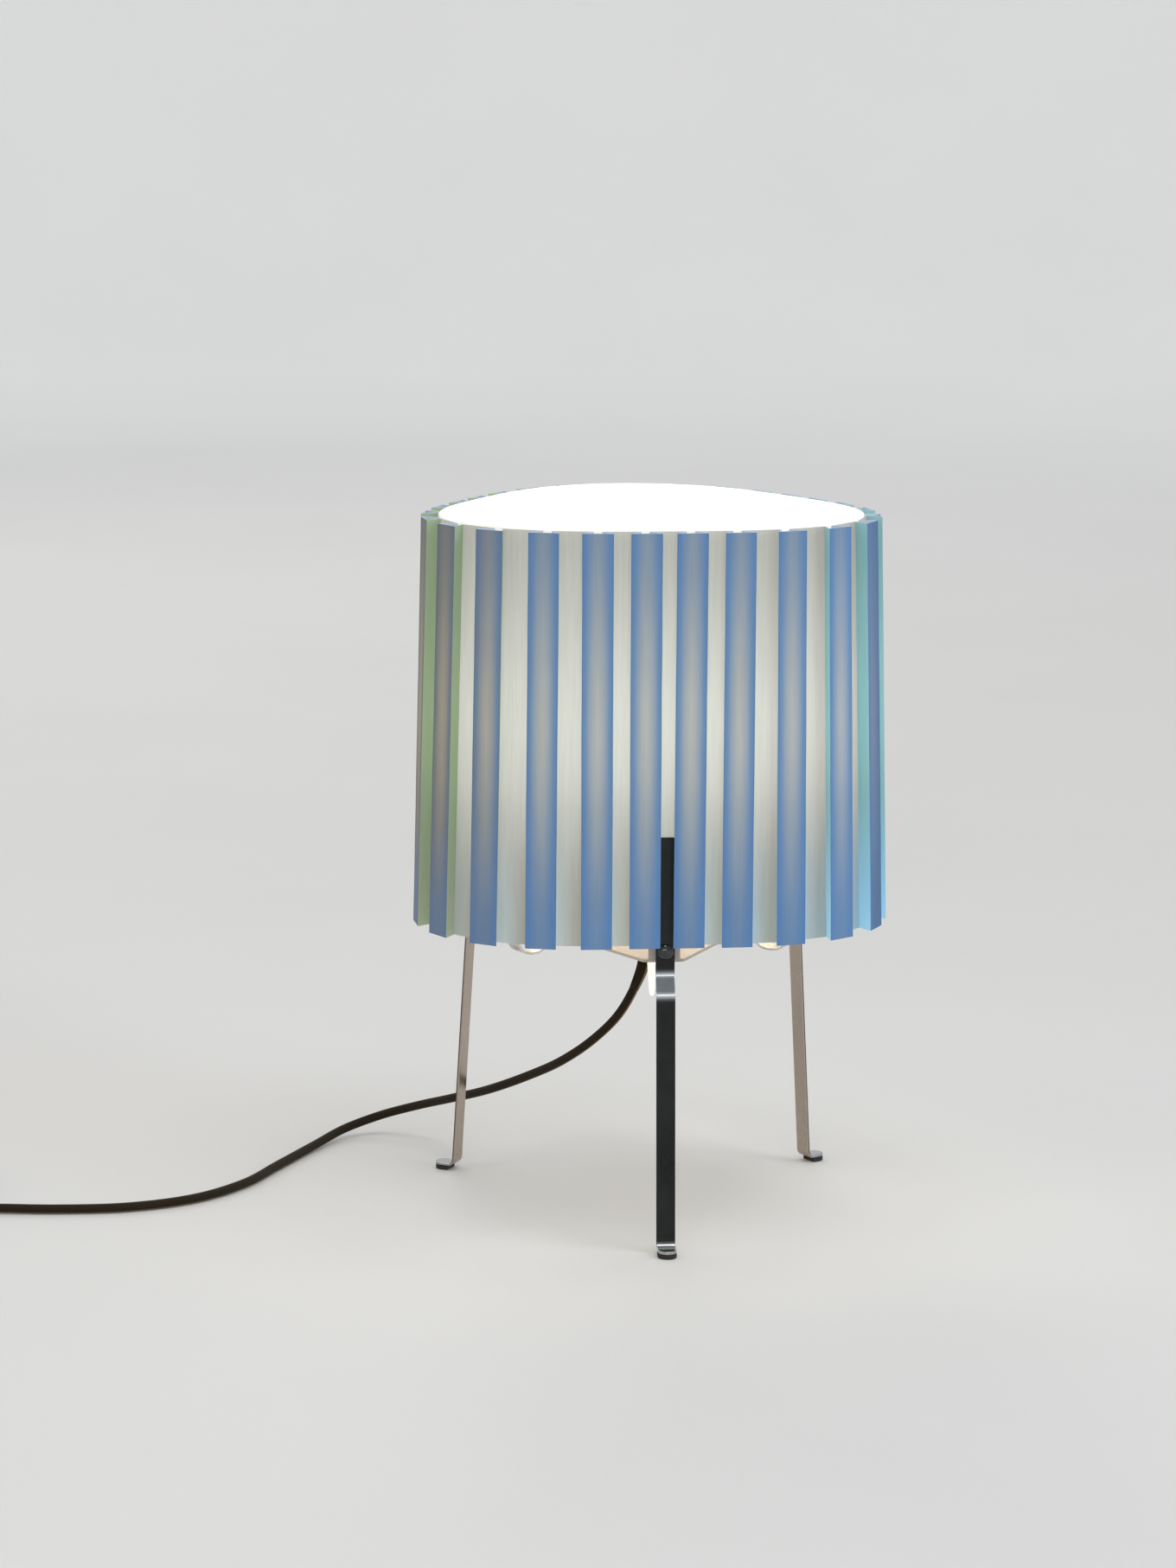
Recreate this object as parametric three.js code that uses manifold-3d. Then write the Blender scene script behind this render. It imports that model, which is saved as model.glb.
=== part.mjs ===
// Tripod table lamp: a three-lobed pleated shade stands in the upturned fingers of three strip legs.
// Millimetres, +Z up, front leg along -Y. The floor is at z = 0 and the origin is the middle of the footprint.

import * as THREE from 'three';
import { mergeVertices } from 'three/addons/utils/BufferGeometryUtils.js';
import Module from 'manifold-3d';

const wasm = await Module();
wasm.setup();

// Clearances
const seatGap = 0.3;
const shankGap = 0.2;
const cutOverrun = 4;

// Places of the three legs, and of the three lobes of the shade half-way between them
const legAngles = [-90, 30, 150].map(THREE.MathUtils.degToRad);
const lobeAngles = [-30, 90, 210].map(THREE.MathUtils.degToRad);
const legNames = ['front', 'right', 'left'];
const lobeNames = ['right', 'rear', 'left'];

// Flat steel strip that the legs and the spring arms are bent from
const stripWidth = 9.6;
const stripThickness = 1.5;

// Legs: a straight finger, a joggle outwards, a slightly splayed shin and a foot
const fingerRadius = 97.25;
const fingerTop = 211.5;
const fingerCorner = 1.5;
const joggleTop = 141.1;
const joggleDrop = 9.5;
const joggleOut = 4;
const joggleBend = 4;
const legSplay = 8.25;
const heelBend = 3.5;
const footReach = 12;
const padThickness = 2.2;

// Hub plate with a tab bent up towards each leg
const plateTop = 148;
const plateThickness = 1.5;
const plateInradius = 54.5;
const plateCorner = 2;
const tabWidth = 16;
const tabHeight = 10;
const tabCorner = 3;
const tabBend = 1.75;
const pullHoleRadius = 6;
const pullHoleReach = 28;
const pullAngle = THREE.MathUtils.degToRad(-86.7);

// Screws that hold the legs, with a spacer that carries the edge of the shade
const screwHeight = 153.1;
const shankRadius = 2;
const screwHeadRadius = 4;
const screwHeadHeight = 2.3;
const spacerRadius = 2.8;
const spacerLength = 2.2;
const nutFlats = 7;
const nutThickness = 3.2;
const shankEnd = 0.9;

// Spring arms that reach into the lobes
const armRoot = 36;
const armRivetReach = 46;
const armShelf = 60;
const armShelfBend = 2.5;
const armLoopRadius = 9.65;
const armLoopReach = 74;
const armLoopDrop = 8.3;
const armRise = 158;
const armTop = 200;
const armEndBend = 3;
const armGap = 0.65;
const rivetRadius = 1.6;
const rivetHeadRadius = 3.2;
const rivetHeadHeight = 1.6;
const rivetTailRadius = 2.8;
const rivetTailHeight = 1;

// Shade: a smooth liner, and round it a sheet folded into dovetail pleats
const shadeHeight = 208.5;
const lobeRadiusBottom = 129.7;
const lobeRadiusTop = 124;
const pleatsPerSide = 9;
const pleatDepth = 8.1;
const pleatFace = 15.8;
const pleatNeck = 6;
const coverThickness = 0.6;
const linerThickness = 0.8;
const linerRim = 0.8;

// Threaded nipple that clamps the lampholder to the plate, and the cord grip under it
const nippleRadius = 5;
const nippleBore = 3.3;
const nippleRise = 8;
const nippleDrop = 11;
const washerRadius = 9;
const washerThickness = 1;
const hubNutFlats = 14;
const hubNutThickness = 3.5;
const gripRadius = 6.8;
const gripNose = 4.2;
const gripLength = 10.8;
const gripSocket = 5.8;

// Lampholder with a pull switch in its base
const housingRadius = 19;
const housingHeight = 41.7;
const housingWall = 1.6;
const housingFloor = 3;
const housingCorner = 4;
const blockFoot = 9;
const blockStep = 1;
const shellRadius = 20;
const shellHeight = 31.7;
const shellWall = 1.8;
const shellLip = 14.8;
const shellCorner = 2.5;
const sleeveWall = 0.7;
const sleeveHeight = 24;
const contactRadius = 3;
const contactHeight = 2.4;

// Pull switch: a guide on the housing, a short pull cord and the drop on its end
const pullReach = 26.2;
const pullCordRadius = 0.8;
const guideRadius = 3.4;
const guideBore = 1.2;
const guideLength = 14;
const guideFoot = 10;
const guideStem = 2.6;
const dropRadius = 2.6;
const dropTop = 141;
const dropLength = 27.4;
const dropRadiusShares = [0, 0.42, 0.78, 0.97, 1, 0.94, 0.7, 0.42, 0];
const dropHeightShares = [0, 0.02, 0.14, 0.36, 0.56, 0.76, 0.92, 1, 1];

// Bulb with a screw cap
const bulbRadius = 30;
const bulbCentre = 272;
const bulbNeck = 12;
const bulbSlopeAngle = THREE.MathUtils.degToRad(25);
const glassThickness = 1;
const capRadius = 13.1;
const capHeight = 22.5;
const capWall = 0.8;
const capGrasp = 7;
const insulatorHeight = 3.7;
const insulatorFoot = 5;
const tipRadius = 4.5;
const tipHeight = 1;

// Textile cord from the grip to the wound-up rest of it, tied, with a flat two-pin plug
const cordDiameter = 4.8;
const cordSides = 10;
const cordStep = 12.5;
const coilRadius = 27;
const coilLayers = 4;
const turnsPerLayer = 1.375;
const climbTurns = 0.5;
const coilPitch = 6.2;
const coilRise = 5.5;
const coilCentre = [-398, 22];
const coilSteps = 24;
const coilSides = 6;
const tieThickness = 1;
const tieWidth = 7;
const tieAngle = THREE.MathUtils.degToRad(100);
const tailLength = 62;
const tailShares = [0.08, 0.3, 0.5, 0.7, 0.92, 1];
const tailFallShares = [0, 0.13, 0.5, 0.87, 1, 1];
const plugLength = 34;
const plugFront = 25;
const plugBack = 11;
const plugThickness = 13;
const plugCorner = 2.5;
const pinRadius = 2;
const pinLength = 19;
const pinSpacing = 18.6;

// How finely round things are cut into facets
const bendSteps = 5;
const cornerSteps = 4;
const smallSegments = 20;
const mediumSegments = 28;
const largeSegments = 32;
const domeSteps = 4;
const globeSteps = 9;
const weldDistance = 0.0001;

// Places that several pieces share
const halfStrip = stripThickness / 2;
const fingerInner = fingerRadius - halfStrip;
const fingerOuter = fingerRadius + halfStrip;
const heelRadius = fingerRadius + joggleOut + legSplay;
const footTip = heelRadius + footReach;
const footHeight = padThickness + seatGap + halfStrip;
const plateBottom = plateTop - plateThickness;
const tabOuter = fingerInner - spacerLength - 2 * seatGap;
const tabInner = tabOuter - plateThickness;
const screwBore = shankRadius + shankGap;
const shadeBottom = screwHeight + spacerRadius + seatGap;
const coverTop = shadeBottom + shadeHeight;
const linerTop = coverTop + linerRim;
const flatRadius = fingerInner - seatGap;
const linerInset = coverThickness + seatGap;
const pleatPitch = 2 * Math.PI / (3 * pleatsPerSide);
const housingBottom = plateTop + seatGap;
const housingTop = housingBottom + housingHeight;
const blockTop = housingTop + blockStep;
const nippleTop = housingBottom + nippleRise;
const nippleBottom = plateBottom - nippleDrop;
const washerTop = plateBottom - seatGap;
const hubNutTop = washerTop - washerThickness - seatGap;
const gripTop = hubNutTop - hubNutThickness - seatGap;
const gripBottom = gripTop - gripLength;
const cordRadius = cordDiameter / 2;
const cordStart = gripTop - gripSocket - seatGap;
const shellBottom = housingTop + seatGap;
const bulbBottom = blockTop + 2 * seatGap + contactHeight;

// Turns a three.js geometry into one whose triangles share their corners, without flat slivers at an axis
function weld(geometry) {
  const bare = geometry.clone();
  bare.deleteAttribute('normal');
  bare.deleteAttribute('uv');
  const merged = mergeVertices(bare, weldDistance);
  const kept = [];
  const corners = merged.index.array;
  for (let i = 0; i < corners.length; i += 3) {
    const [a, b, c] = corners.slice(i, i + 3);
    if (a !== b && b !== c && c !== a) kept.push(a, b, c);
  }
  merged.setIndex(kept);
  return merged;
}

function solid(geometry) {
  const welded = weld(geometry);
  const vertProperties = welded.attributes.position.array;
  const triVerts = Uint32Array.from(welded.index.array);
  return new wasm.Manifold(new wasm.Mesh({ numProp: 3, vertProperties, triVerts }));
}

function fromSolid(body) {
  const mesh = body.getMesh();
  const geometry = new THREE.BufferGeometry();
  geometry.setAttribute('position', new THREE.BufferAttribute(mesh.vertProperties, 3));
  geometry.setIndex(new THREE.BufferAttribute(mesh.triVerts, 1));
  return geometry;
}

// Revolves a profile of [radius, height] pairs about the vertical axis. It runs upwards on its outer side.
function revolve(profile, segments) {
  const points = profile.map(([radius, height]) => new THREE.Vector2(radius, height));
  return new THREE.LatheGeometry(points, segments).rotateX(Math.PI / 2);
}

function tube(outer, inner, bottom, top, segments) {
  const profile = [[inner, bottom], [outer, bottom], [outer, top], [inner, top], [inner, bottom]];
  return revolve(profile, segments);
}

// Points of a quarter round from one profile corner to the next, turning about a centre
function quarter(centre, radius, fromDegrees, toDegrees) {
  const points = [];
  for (let k = 0; k <= cornerSteps; k++) {
    const angle = THREE.MathUtils.degToRad(fromDegrees + (toDegrees - fromDegrees) * k / cornerSteps);
    points.push([centre[0] + radius * Math.cos(angle), centre[1] + radius * Math.sin(angle)]);
  }
  return points;
}

// A dome over the axis, from its rim up to its crown
function dome(radius, height, base) {
  const points = [];
  for (let k = 0; k <= domeSteps; k++) {
    const angle = Math.PI / 2 * k / domeSteps;
    points.push([radius * Math.cos(angle), base + height * Math.sin(angle)]);
  }
  return points;
}

// Rounds one corner of a path: points with the direction that faces sideways, to the left of travel
function bend(before, corner, after, radius, steps) {
  const incoming = corner.clone().sub(before).normalize();
  const outgoing = after.clone().sub(corner).normalize();
  const turn = Math.atan2(incoming.cross(outgoing), incoming.dot(outgoing));
  const side = Math.sign(turn) || 1;
  const left = new THREE.Vector2(-incoming.y, incoming.x);
  const start = corner.clone().addScaledVector(incoming, -radius * Math.tan(Math.abs(turn) / 2));
  const centre = start.clone().addScaledVector(left, side * radius);
  const samples = [];
  for (let k = 0; k <= steps; k++) {
    const across = left.clone().rotateAround(new THREE.Vector2(), turn * k / steps);
    samples.push({ point: centre.clone().addScaledVector(across, -side * radius), across });
  }
  return samples;
}

// A strip seen on edge. Corners are { out, up, bend } along its middle, and it is as wide as asked.
function bentStrip(corners, thickness, width) {
  const points = corners.map(({ out, up }) => new THREE.Vector2(out, up));
  const samples = [];
  const last = points.length - 1;
  points.forEach((point, i) => {
    if (i === 0 || i === last) {
      const along = i === 0 ? points[1].clone().sub(point) : point.clone().sub(points[last - 1]);
      along.normalize();
      samples.push({ point, across: new THREE.Vector2(-along.y, along.x) });
    } else {
      samples.push(...bend(points[i - 1], point, points[i + 1], corners[i].bend, bendSteps));
    }
  });
  const leftSide = samples.map(({ point, across }) => point.clone().addScaledVector(across, thickness / 2));
  const rightSide = samples.map(({ point, across }) => point.clone().addScaledVector(across, -thickness / 2));
  return sideways(new THREE.Shape([...leftSide, ...rightSide.reverse()]), width);
}

// Extrudes a shape drawn as (out, up) across the radial direction, centred on it
function sideways(shape, width) {
  const geometry = new THREE.ExtrudeGeometry(shape, { depth: width, bevelEnabled: false });
  return geometry.translate(0, 0, -width / 2).rotateX(Math.PI / 2);
}

// Extrudes a shape drawn as (across, up) along the radial direction
function outwards(shape, from, to) {
  const geometry = new THREE.ExtrudeGeometry(shape, { depth: to - from, bevelEnabled: false });
  return geometry.rotateX(Math.PI / 2).rotateZ(Math.PI / 2).translate(from, 0, 0);
}

// Extrudes a plan shape upwards
function upwards(shape, bottom, top) {
  const options = { depth: top - bottom, bevelEnabled: false, curveSegments: smallSegments };
  return new THREE.ExtrudeGeometry(shape, options).translate(0, 0, bottom);
}

// An outline with rounded corners; the corners are Vector2 and each has its own radius
function roundedOutline(corners, radii) {
  const count = corners.length;
  const points = [];
  corners.forEach((corner, i) => {
    const before = corners[(i + count - 1) % count];
    const after = corners[(i + 1) % count];
    if (radii[i] > 0) points.push(...bend(before, corner, after, radii[i], cornerSteps).map((s) => s.point));
    else points.push(corner);
  });
  return new THREE.Shape(points);
}

// A round hole along the radial direction
function radialHole(radius, from, to, height) {
  const drill = new THREE.CylinderGeometry(radius, radius, to - from, smallSegments);
  return drill.rotateZ(Math.PI / 2).translate((from + to) / 2, 0, height);
}

// Front view of an upright strip: square below, rounded at its top corners
function tongue(width, bottom, top, corner) {
  const half = width / 2;
  const corners = [[-half, bottom], [half, bottom], [half, top], [-half, top]];
  return roundedOutline(corners.map(([x, y]) => new THREE.Vector2(x, y)), [0, 0, corner, corner]);
}

// Plan of a strip end: square inside, a half round at the tip
function footPlan(from, tip, width) {
  const half = width / 2;
  const shape = new THREE.Shape();
  shape.moveTo(from, -half);
  shape.lineTo(tip - half, -half);
  shape.absarc(tip - half, 0, half, -Math.PI / 2, Math.PI / 2, false);
  shape.lineTo(from, half);
  return shape;
}

function finish(colour, roughness, metalness) {
  return new THREE.MeshStandardMaterial({ color: colour, roughness, metalness });
}

const darkSteel = finish('#4a4d52', 0.35, 0.9);
const zincSteel = finish('#8d9096', 0.35, 0.9);
const plateFinish = finish('#d9d2c2', 0.55, 0.1);
const rubber = finish('#1b1b1c', 0.8, 0);
const pleatBlue = finish('#7fa6cf', 0.8, 0);
const linerWhite = finish('#f4f1e8', 0.85, 0);
const whitePlastic = finish('#efece4', 0.45, 0);
const brass = finish('#b99a5b', 0.35, 0.9);
const opalGlass = finish('#fbf7ec', 0.3, 0);
const blackPlastic = finish('#222224', 0.5, 0);
const braid = finish('#4b3f2a', 0.9, 0);
const whiteCord = finish('#ece8dd', 0.8, 0);

function piece(name, geometry, material) {
  const mesh = new THREE.Mesh(geometry, material);
  mesh.name = name;
  return mesh;
}

// One leg, along +X: bent from strip, then cut to its outline from the front and from above
function legGeometry() {
  const strip = bentStrip([
    { out: fingerRadius, up: fingerTop },
    { out: fingerRadius, up: joggleTop, bend: joggleBend },
    { out: fingerRadius + joggleOut, up: joggleTop - joggleDrop, bend: joggleBend },
    { out: heelRadius, up: footHeight, bend: heelBend },
    { out: footTip, up: footHeight },
  ], stripThickness, stripWidth);
  const front = outwards(tongue(stripWidth, 0, fingerTop, fingerCorner), 0, footTip + cutOverrun);
  const plan = upwards(footPlan(0, footTip, stripWidth), 0, fingerTop + cutOverrun);
  const hole = radialHole(screwBore, fingerInner - cutOverrun, fingerOuter + cutOverrun, screwHeight);
  return fromSolid(solid(strip).intersect(solid(front)).intersect(solid(plan)).subtract(solid(hole)));
}

function padGeometry() {
  return upwards(footPlan(heelRadius + heelBend, footTip, stripWidth), 0, padThickness);
}

// Screw, spacer and nut, drawn standing on z = 0 and laid along the radial direction by their meshes
function screwGeometry() {
  const shank = fingerOuter + seatGap - (tabInner - seatGap - nutThickness - shankEnd);
  const profile = [[0, -shank], [shankRadius, -shank], [shankRadius, 0]];
  return revolve([...profile, ...dome(screwHeadRadius, screwHeadHeight, 0)], smallSegments);
}

function hexNut(flats, bore, thickness) {
  const corners = [];
  for (let k = 0; k < 6; k++) {
    const angle = Math.PI / 3 * k;
    corners.push(new THREE.Vector2(Math.cos(angle), Math.sin(angle)).multiplyScalar(flats / Math.sqrt(3)));
  }
  const shape = new THREE.Shape(corners);
  shape.holes.push(new THREE.Path().absarc(0, 0, bore, 0, 2 * Math.PI, true));
  return upwards(shape, 0, thickness);
}

function laidOutwards(mesh, from) {
  mesh.rotation.y = Math.PI / 2;
  mesh.position.set(from, 0, screwHeight);
  return mesh;
}

function buildLeg(name, angle) {
  const leg = new THREE.Group();
  const nutStart = tabInner - seatGap - nutThickness;
  const nut = hexNut(nutFlats, screwBore, nutThickness).rotateZ(Math.PI / 6);
  const spacer = tube(spacerRadius, screwBore, 0, spacerLength, smallSegments);
  leg.add(piece(`leg_${name}`, legGeometry(), darkSteel));
  leg.add(piece(`foot_pad_${name}`, padGeometry(), rubber));
  leg.add(laidOutwards(piece(`leg_screw_${name}`, screwGeometry(), darkSteel), fingerOuter + seatGap));
  leg.add(laidOutwards(piece(`leg_spacer_${name}`, spacer, zincSteel), tabOuter + seatGap));
  leg.add(laidOutwards(piece(`leg_nut_${name}`, nut, zincSteel), nutStart));
  leg.rotation.z = angle;
  return leg;
}

// Hub plate: a triangle with cut-off corners, each with a tab bent upwards
function platePlan() {
  const tipReach = tabOuter - tabBend - plateThickness / 2;
  const tipHalf = (2 * plateInradius - tipReach) * Math.tan(Math.PI / 6);
  const corners = [];
  for (const angle of legAngles) {
    for (const side of [-1, 1]) {
      corners.push(new THREE.Vector2(tipReach, side * tipHalf).rotateAround(new THREE.Vector2(), angle));
    }
  }
  const shape = roundedOutline(corners, corners.map(() => plateCorner));
  const hole = (reach, angle, radius) => {
    const x = reach * Math.cos(angle);
    const y = reach * Math.sin(angle);
    shape.holes.push(new THREE.Path().absarc(x, y, radius, 0, 2 * Math.PI, true));
  };
  hole(0, 0, nippleRadius + shankGap);
  hole(pullHoleReach, pullAngle, pullHoleRadius);
  lobeAngles.forEach((angle) => hole(armRivetReach, angle, rivetRadius + shankGap));
  return shape;
}

function tabSolid(angle) {
  const middle = plateTop - plateThickness / 2;
  const strip = bentStrip([
    { out: tabOuter - plateThickness / 2 - tabBend - tabWidth / 2, up: middle },
    { out: tabOuter - plateThickness / 2, up: middle, bend: tabBend },
    { out: tabOuter - plateThickness / 2, up: plateTop + tabHeight },
  ], plateThickness, tabWidth);
  const top = plateTop + tabHeight;
  const front = outwards(tongue(tabWidth, 0, top, tabCorner), 0, tabOuter + cutOverrun);
  const hole = radialHole(screwBore, tabInner - cutOverrun, tabOuter + cutOverrun, screwHeight);
  const body = solid(strip).intersect(solid(front)).subtract(solid(hole));
  return body.rotate([0, 0, THREE.MathUtils.radToDeg(angle)]);
}

function plateGeometry() {
  let body = solid(upwards(platePlan(), plateBottom, plateTop));
  for (const angle of legAngles) {
    body = body.add(tabSolid(angle));
  }
  return fromSolid(body);
}

// Plan of the shade. It is flat towards each leg and swells into a lobe between the legs.
function planPoint(angle, flat, lobe) {
  const middle = (lobe + flat) / 2;
  const swing = (lobe - flat) / 2;
  const radius = middle - swing * Math.cos(3 * (angle - legAngles[0]));
  const slope = 3 * swing * Math.sin(3 * (angle - legAngles[0]));
  const outward = new THREE.Vector2(Math.cos(angle), Math.sin(angle));
  const sideward = new THREE.Vector2(-outward.y, outward.x);
  const along = outward.clone().multiplyScalar(slope).addScaledVector(sideward, radius).normalize();
  const across = new THREE.Vector2(along.y, -along.x);
  return { point: outward.multiplyScalar(radius), along, across };
}

// Corners of the folded sheet's outer side, and of the smooth line through its necks
function pleatOutline(lobe) {
  const folds = [];
  const necks = [];
  for (let i = 0; i < 3 * pleatsPerSide; i++) {
    const angle = legAngles[0] + (i + 0.5) * pleatPitch;
    const { point, along, across } = planPoint(angle, flatRadius, lobe - pleatDepth);
    const at = (side, height) => point.clone().addScaledVector(along, side).addScaledVector(across, height);
    const neckStart = at(-pleatNeck / 2, 0);
    const neckEnd = at(pleatNeck / 2, 0);
    folds.push(neckStart, at(-pleatFace / 2, pleatDepth), at(pleatFace / 2, pleatDepth), neckEnd);
    necks.push(neckStart, neckEnd);
  }
  return { folds, necks };
}

// Moves each side of a closed outline inwards by the same distance
function inset(outline, distance) {
  const count = outline.length;
  return outline.map((corner, i) => {
    const incoming = corner.clone().sub(outline[(i + count - 1) % count]).normalize();
    const outgoing = outline[(i + 1) % count].clone().sub(corner).normalize();
    const inwardBefore = new THREE.Vector2(-incoming.y, incoming.x);
    const inwardAfter = new THREE.Vector2(-outgoing.y, outgoing.x);
    const mitre = inwardBefore.clone().add(inwardAfter).normalize();
    return corner.clone().addScaledVector(mitre, distance / mitre.dot(inwardBefore));
  });
}

// A wall between two outlines, straight from its bottom edge to its top edge
function standingWall(bottomOuter, topOuter, thickness, bottom, top) {
  const count = bottomOuter.length;
  const loops = [
    [bottomOuter, bottom],
    [topOuter, top],
    [inset(topOuter, thickness), top],
    [inset(bottomOuter, thickness), bottom],
  ];
  const positions = [];
  for (const [loop, height] of loops) {
    for (const point of loop) positions.push(point.x, point.y, height);
  }
  const faces = [];
  for (let ring = 0; ring < loops.length; ring++) {
    const next = (ring + 1) % loops.length;
    for (let i = 0; i < count; i++) {
      const j = (i + 1) % count;
      const [a, b] = [ring * count + i, ring * count + j];
      const [c, d] = [next * count + j, next * count + i];
      if (ring === 2) faces.push(a, b, d, b, c, d);
      else faces.push(a, b, c, a, c, d);
    }
  }
  const geometry = new THREE.BufferGeometry();
  geometry.setAttribute('position', new THREE.Float32BufferAttribute(positions, 3));
  geometry.setIndex(faces);
  return geometry;
}

function buildShade() {
  const shade = new THREE.Group();
  const bottomEdge = pleatOutline(lobeRadiusBottom);
  const topEdge = pleatOutline(lobeRadiusTop);
  const cover = standingWall(bottomEdge.folds, topEdge.folds, coverThickness, shadeBottom, coverTop);
  const linerBottom = inset(bottomEdge.necks, linerInset);
  const linerTopEdge = inset(topEdge.necks, linerInset);
  const liner = standingWall(linerBottom, linerTopEdge, linerThickness, shadeBottom, linerTop);
  shade.add(piece('shade_pleated_cover', cover, pleatBlue));
  shade.add(piece('shade_liner', liner, linerWhite));
  return shade;
}

// Radius of the liner's inner face in the middle of a lobe
function linerLobeRadius(height) {
  const climb = (height - shadeBottom) / shadeHeight;
  const lobe = lobeRadiusBottom + (lobeRadiusTop - lobeRadiusBottom) * climb;
  return lobe - pleatDepth - linerInset - linerThickness;
}

// Spring arm: riveted to the plate, dipped in a loop under it, then up along the inside of a lobe
function armGeometry() {
  const shelf = plateTop + seatGap + halfStrip;
  const loopSide = armLoopReach + armLoopRadius;
  const reach = (height) => linerLobeRadius(height) - armGap - halfStrip;
  const strip = bentStrip([
    { out: armRoot, up: shelf },
    { out: armShelf, up: shelf, bend: armShelfBend },
    { out: armShelf + armLoopDrop, up: shelf - armLoopDrop, bend: armLoopRadius },
    { out: loopSide, up: shelf - armLoopDrop, bend: armLoopRadius },
    { out: loopSide, up: armRise, bend: armShelfBend },
    { out: reach(armRise), up: armRise, bend: armEndBend },
    { out: reach(armTop), up: armTop },
  ], stripThickness, stripWidth);
  const hole = new THREE.CylinderGeometry(
    rivetRadius + shankGap, rivetRadius + shankGap, stripThickness + 2 * cutOverrun, smallSegments);
  hole.rotateX(Math.PI / 2).translate(armRivetReach, 0, shelf);
  const front = outwards(tongue(stripWidth, 0, armTop, fingerCorner), 0, lobeRadiusBottom);
  return fromSolid(solid(strip).intersect(solid(front)).subtract(solid(hole)));
}

function rivetGeometry() {
  const head = plateTop + 2 * seatGap + stripThickness;
  const tail = plateBottom - seatGap;
  const profile = [[0, tail - rivetTailHeight], [rivetTailRadius, tail - rivetTailHeight]];
  profile.push([rivetTailRadius, tail], [rivetRadius, tail], [rivetRadius, head]);
  return revolve([...profile, ...dome(rivetHeadRadius, rivetHeadHeight, head)], smallSegments);
}

function buildArm(name, angle) {
  const arm = new THREE.Group();
  const rivet = piece(`arm_rivet_${name}`, rivetGeometry(), zincSteel);
  rivet.position.x = armRivetReach;
  arm.add(piece(`lobe_arm_${name}`, armGeometry(), zincSteel), rivet);
  arm.rotation.z = angle;
  return arm;
}

// Lampholder and what clamps it to the plate
function housingGeometry() {
  const inner = housingRadius - housingWall;
  const floor = housingBottom + housingFloor;
  const bore = nippleRadius + shankGap;
  const corner = [housingRadius - housingCorner, housingBottom + housingCorner];
  const profile = [[bore, housingBottom], ...quarter(corner, housingCorner, -90, 0)];
  profile.push([housingRadius, housingTop], [inner, housingTop], [inner, floor], [bore, floor]);
  return revolve([...profile, profile[0]], mediumSegments);
}

function blockGeometry() {
  const foot = housingBottom + blockFoot;
  const radius = housingRadius - housingWall - seatGap;
  return revolve([[0, foot], [radius, foot], [radius, blockTop], [0, blockTop]], mediumSegments);
}

function shellGeometry() {
  const top = shellBottom + shellHeight;
  const inner = shellRadius - shellWall;
  const corner = [shellRadius - shellCorner, top - shellCorner];
  const profile = [[inner, shellBottom], [shellRadius, shellBottom], ...quarter(corner, shellCorner, 0, 90)];
  profile.push([shellLip, top], [shellLip, top - shellWall], [inner, top - shellWall]);
  return revolve([...profile, profile[0]], mediumSegments);
}

function gripGeometry() {
  const socketFloor = gripTop - gripSocket;
  const socket = nippleRadius + shankGap;
  const bore = cordRadius + seatGap;
  const profile = [
    [bore, gripBottom], [gripNose, gripBottom], [gripRadius, socketFloor], [gripRadius, gripTop],
    [socket, gripTop], [socket, socketFloor], [bore, socketFloor],
  ];
  return revolve([...profile, profile[0]], mediumSegments);
}

// The guide stands clear of the housing on a short stem and flares at its mouth
function guideGeometry() {
  const bottom = housingBottom + guideFoot;
  const top = bottom + guideLength;
  const barrel = revolve([
    [guideBore, bottom], [guideRadius, bottom], [guideStem, bottom + guideRadius],
    [guideStem, top], [guideBore, top], [guideBore, bottom],
  ], smallSegments);
  barrel.translate(pullReach, 0, 0);
  const stemHeight = top - guideStem;
  const stem = radialHole(guideStem, housingRadius + seatGap, pullReach, stemHeight);
  const bore = new THREE.CylinderGeometry(guideBore, guideBore, 2 * guideLength, smallSegments);
  bore.rotateX(Math.PI / 2).translate(pullReach, 0, bottom + guideLength / 2);
  return fromSolid(solid(barrel).add(solid(stem)).subtract(solid(bore)));
}

function buildLampholder() {
  const holder = new THREE.Group();
  const nipple = tube(nippleRadius, nippleBore, nippleBottom, nippleTop, smallSegments);
  const washerBottom = washerTop - washerThickness;
  const washer = tube(washerRadius, nippleRadius + shankGap, washerBottom, washerTop, mediumSegments);
  const nut = hexNut(hubNutFlats, nippleRadius + shankGap, hubNutThickness);
  nut.translate(0, 0, hubNutTop - hubNutThickness);
  const sleeveBottom = blockTop + seatGap;
  const sleeveInner = capRadius + seatGap;
  const sleeveTop = sleeveBottom + sleeveHeight;
  const sleeve = tube(sleeveInner + sleeveWall, sleeveInner, sleeveBottom, sleeveTop, mediumSegments);
  const contact = revolve([
    [0, sleeveBottom], [contactRadius, sleeveBottom], ...dome(contactRadius, contactHeight, sleeveBottom),
  ], smallSegments);
  const guide = piece('pull_guide', guideGeometry(), whitePlastic);
  guide.rotation.z = pullAngle;
  holder.add(piece('holder_nipple', nipple, zincSteel));
  holder.add(piece('holder_washer', washer, zincSteel));
  holder.add(piece('holder_nut', nut, zincSteel));
  holder.add(piece('cord_grip', gripGeometry(), blackPlastic));
  holder.add(piece('switch_housing', housingGeometry(), whitePlastic));
  holder.add(piece('switch_block', blockGeometry(), blackPlastic));
  holder.add(piece('holder_shell', shellGeometry(), whitePlastic));
  holder.add(piece('holder_sleeve', sleeve, brass));
  holder.add(piece('centre_contact', contact, brass));
  holder.add(guide);
  return holder;
}

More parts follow.
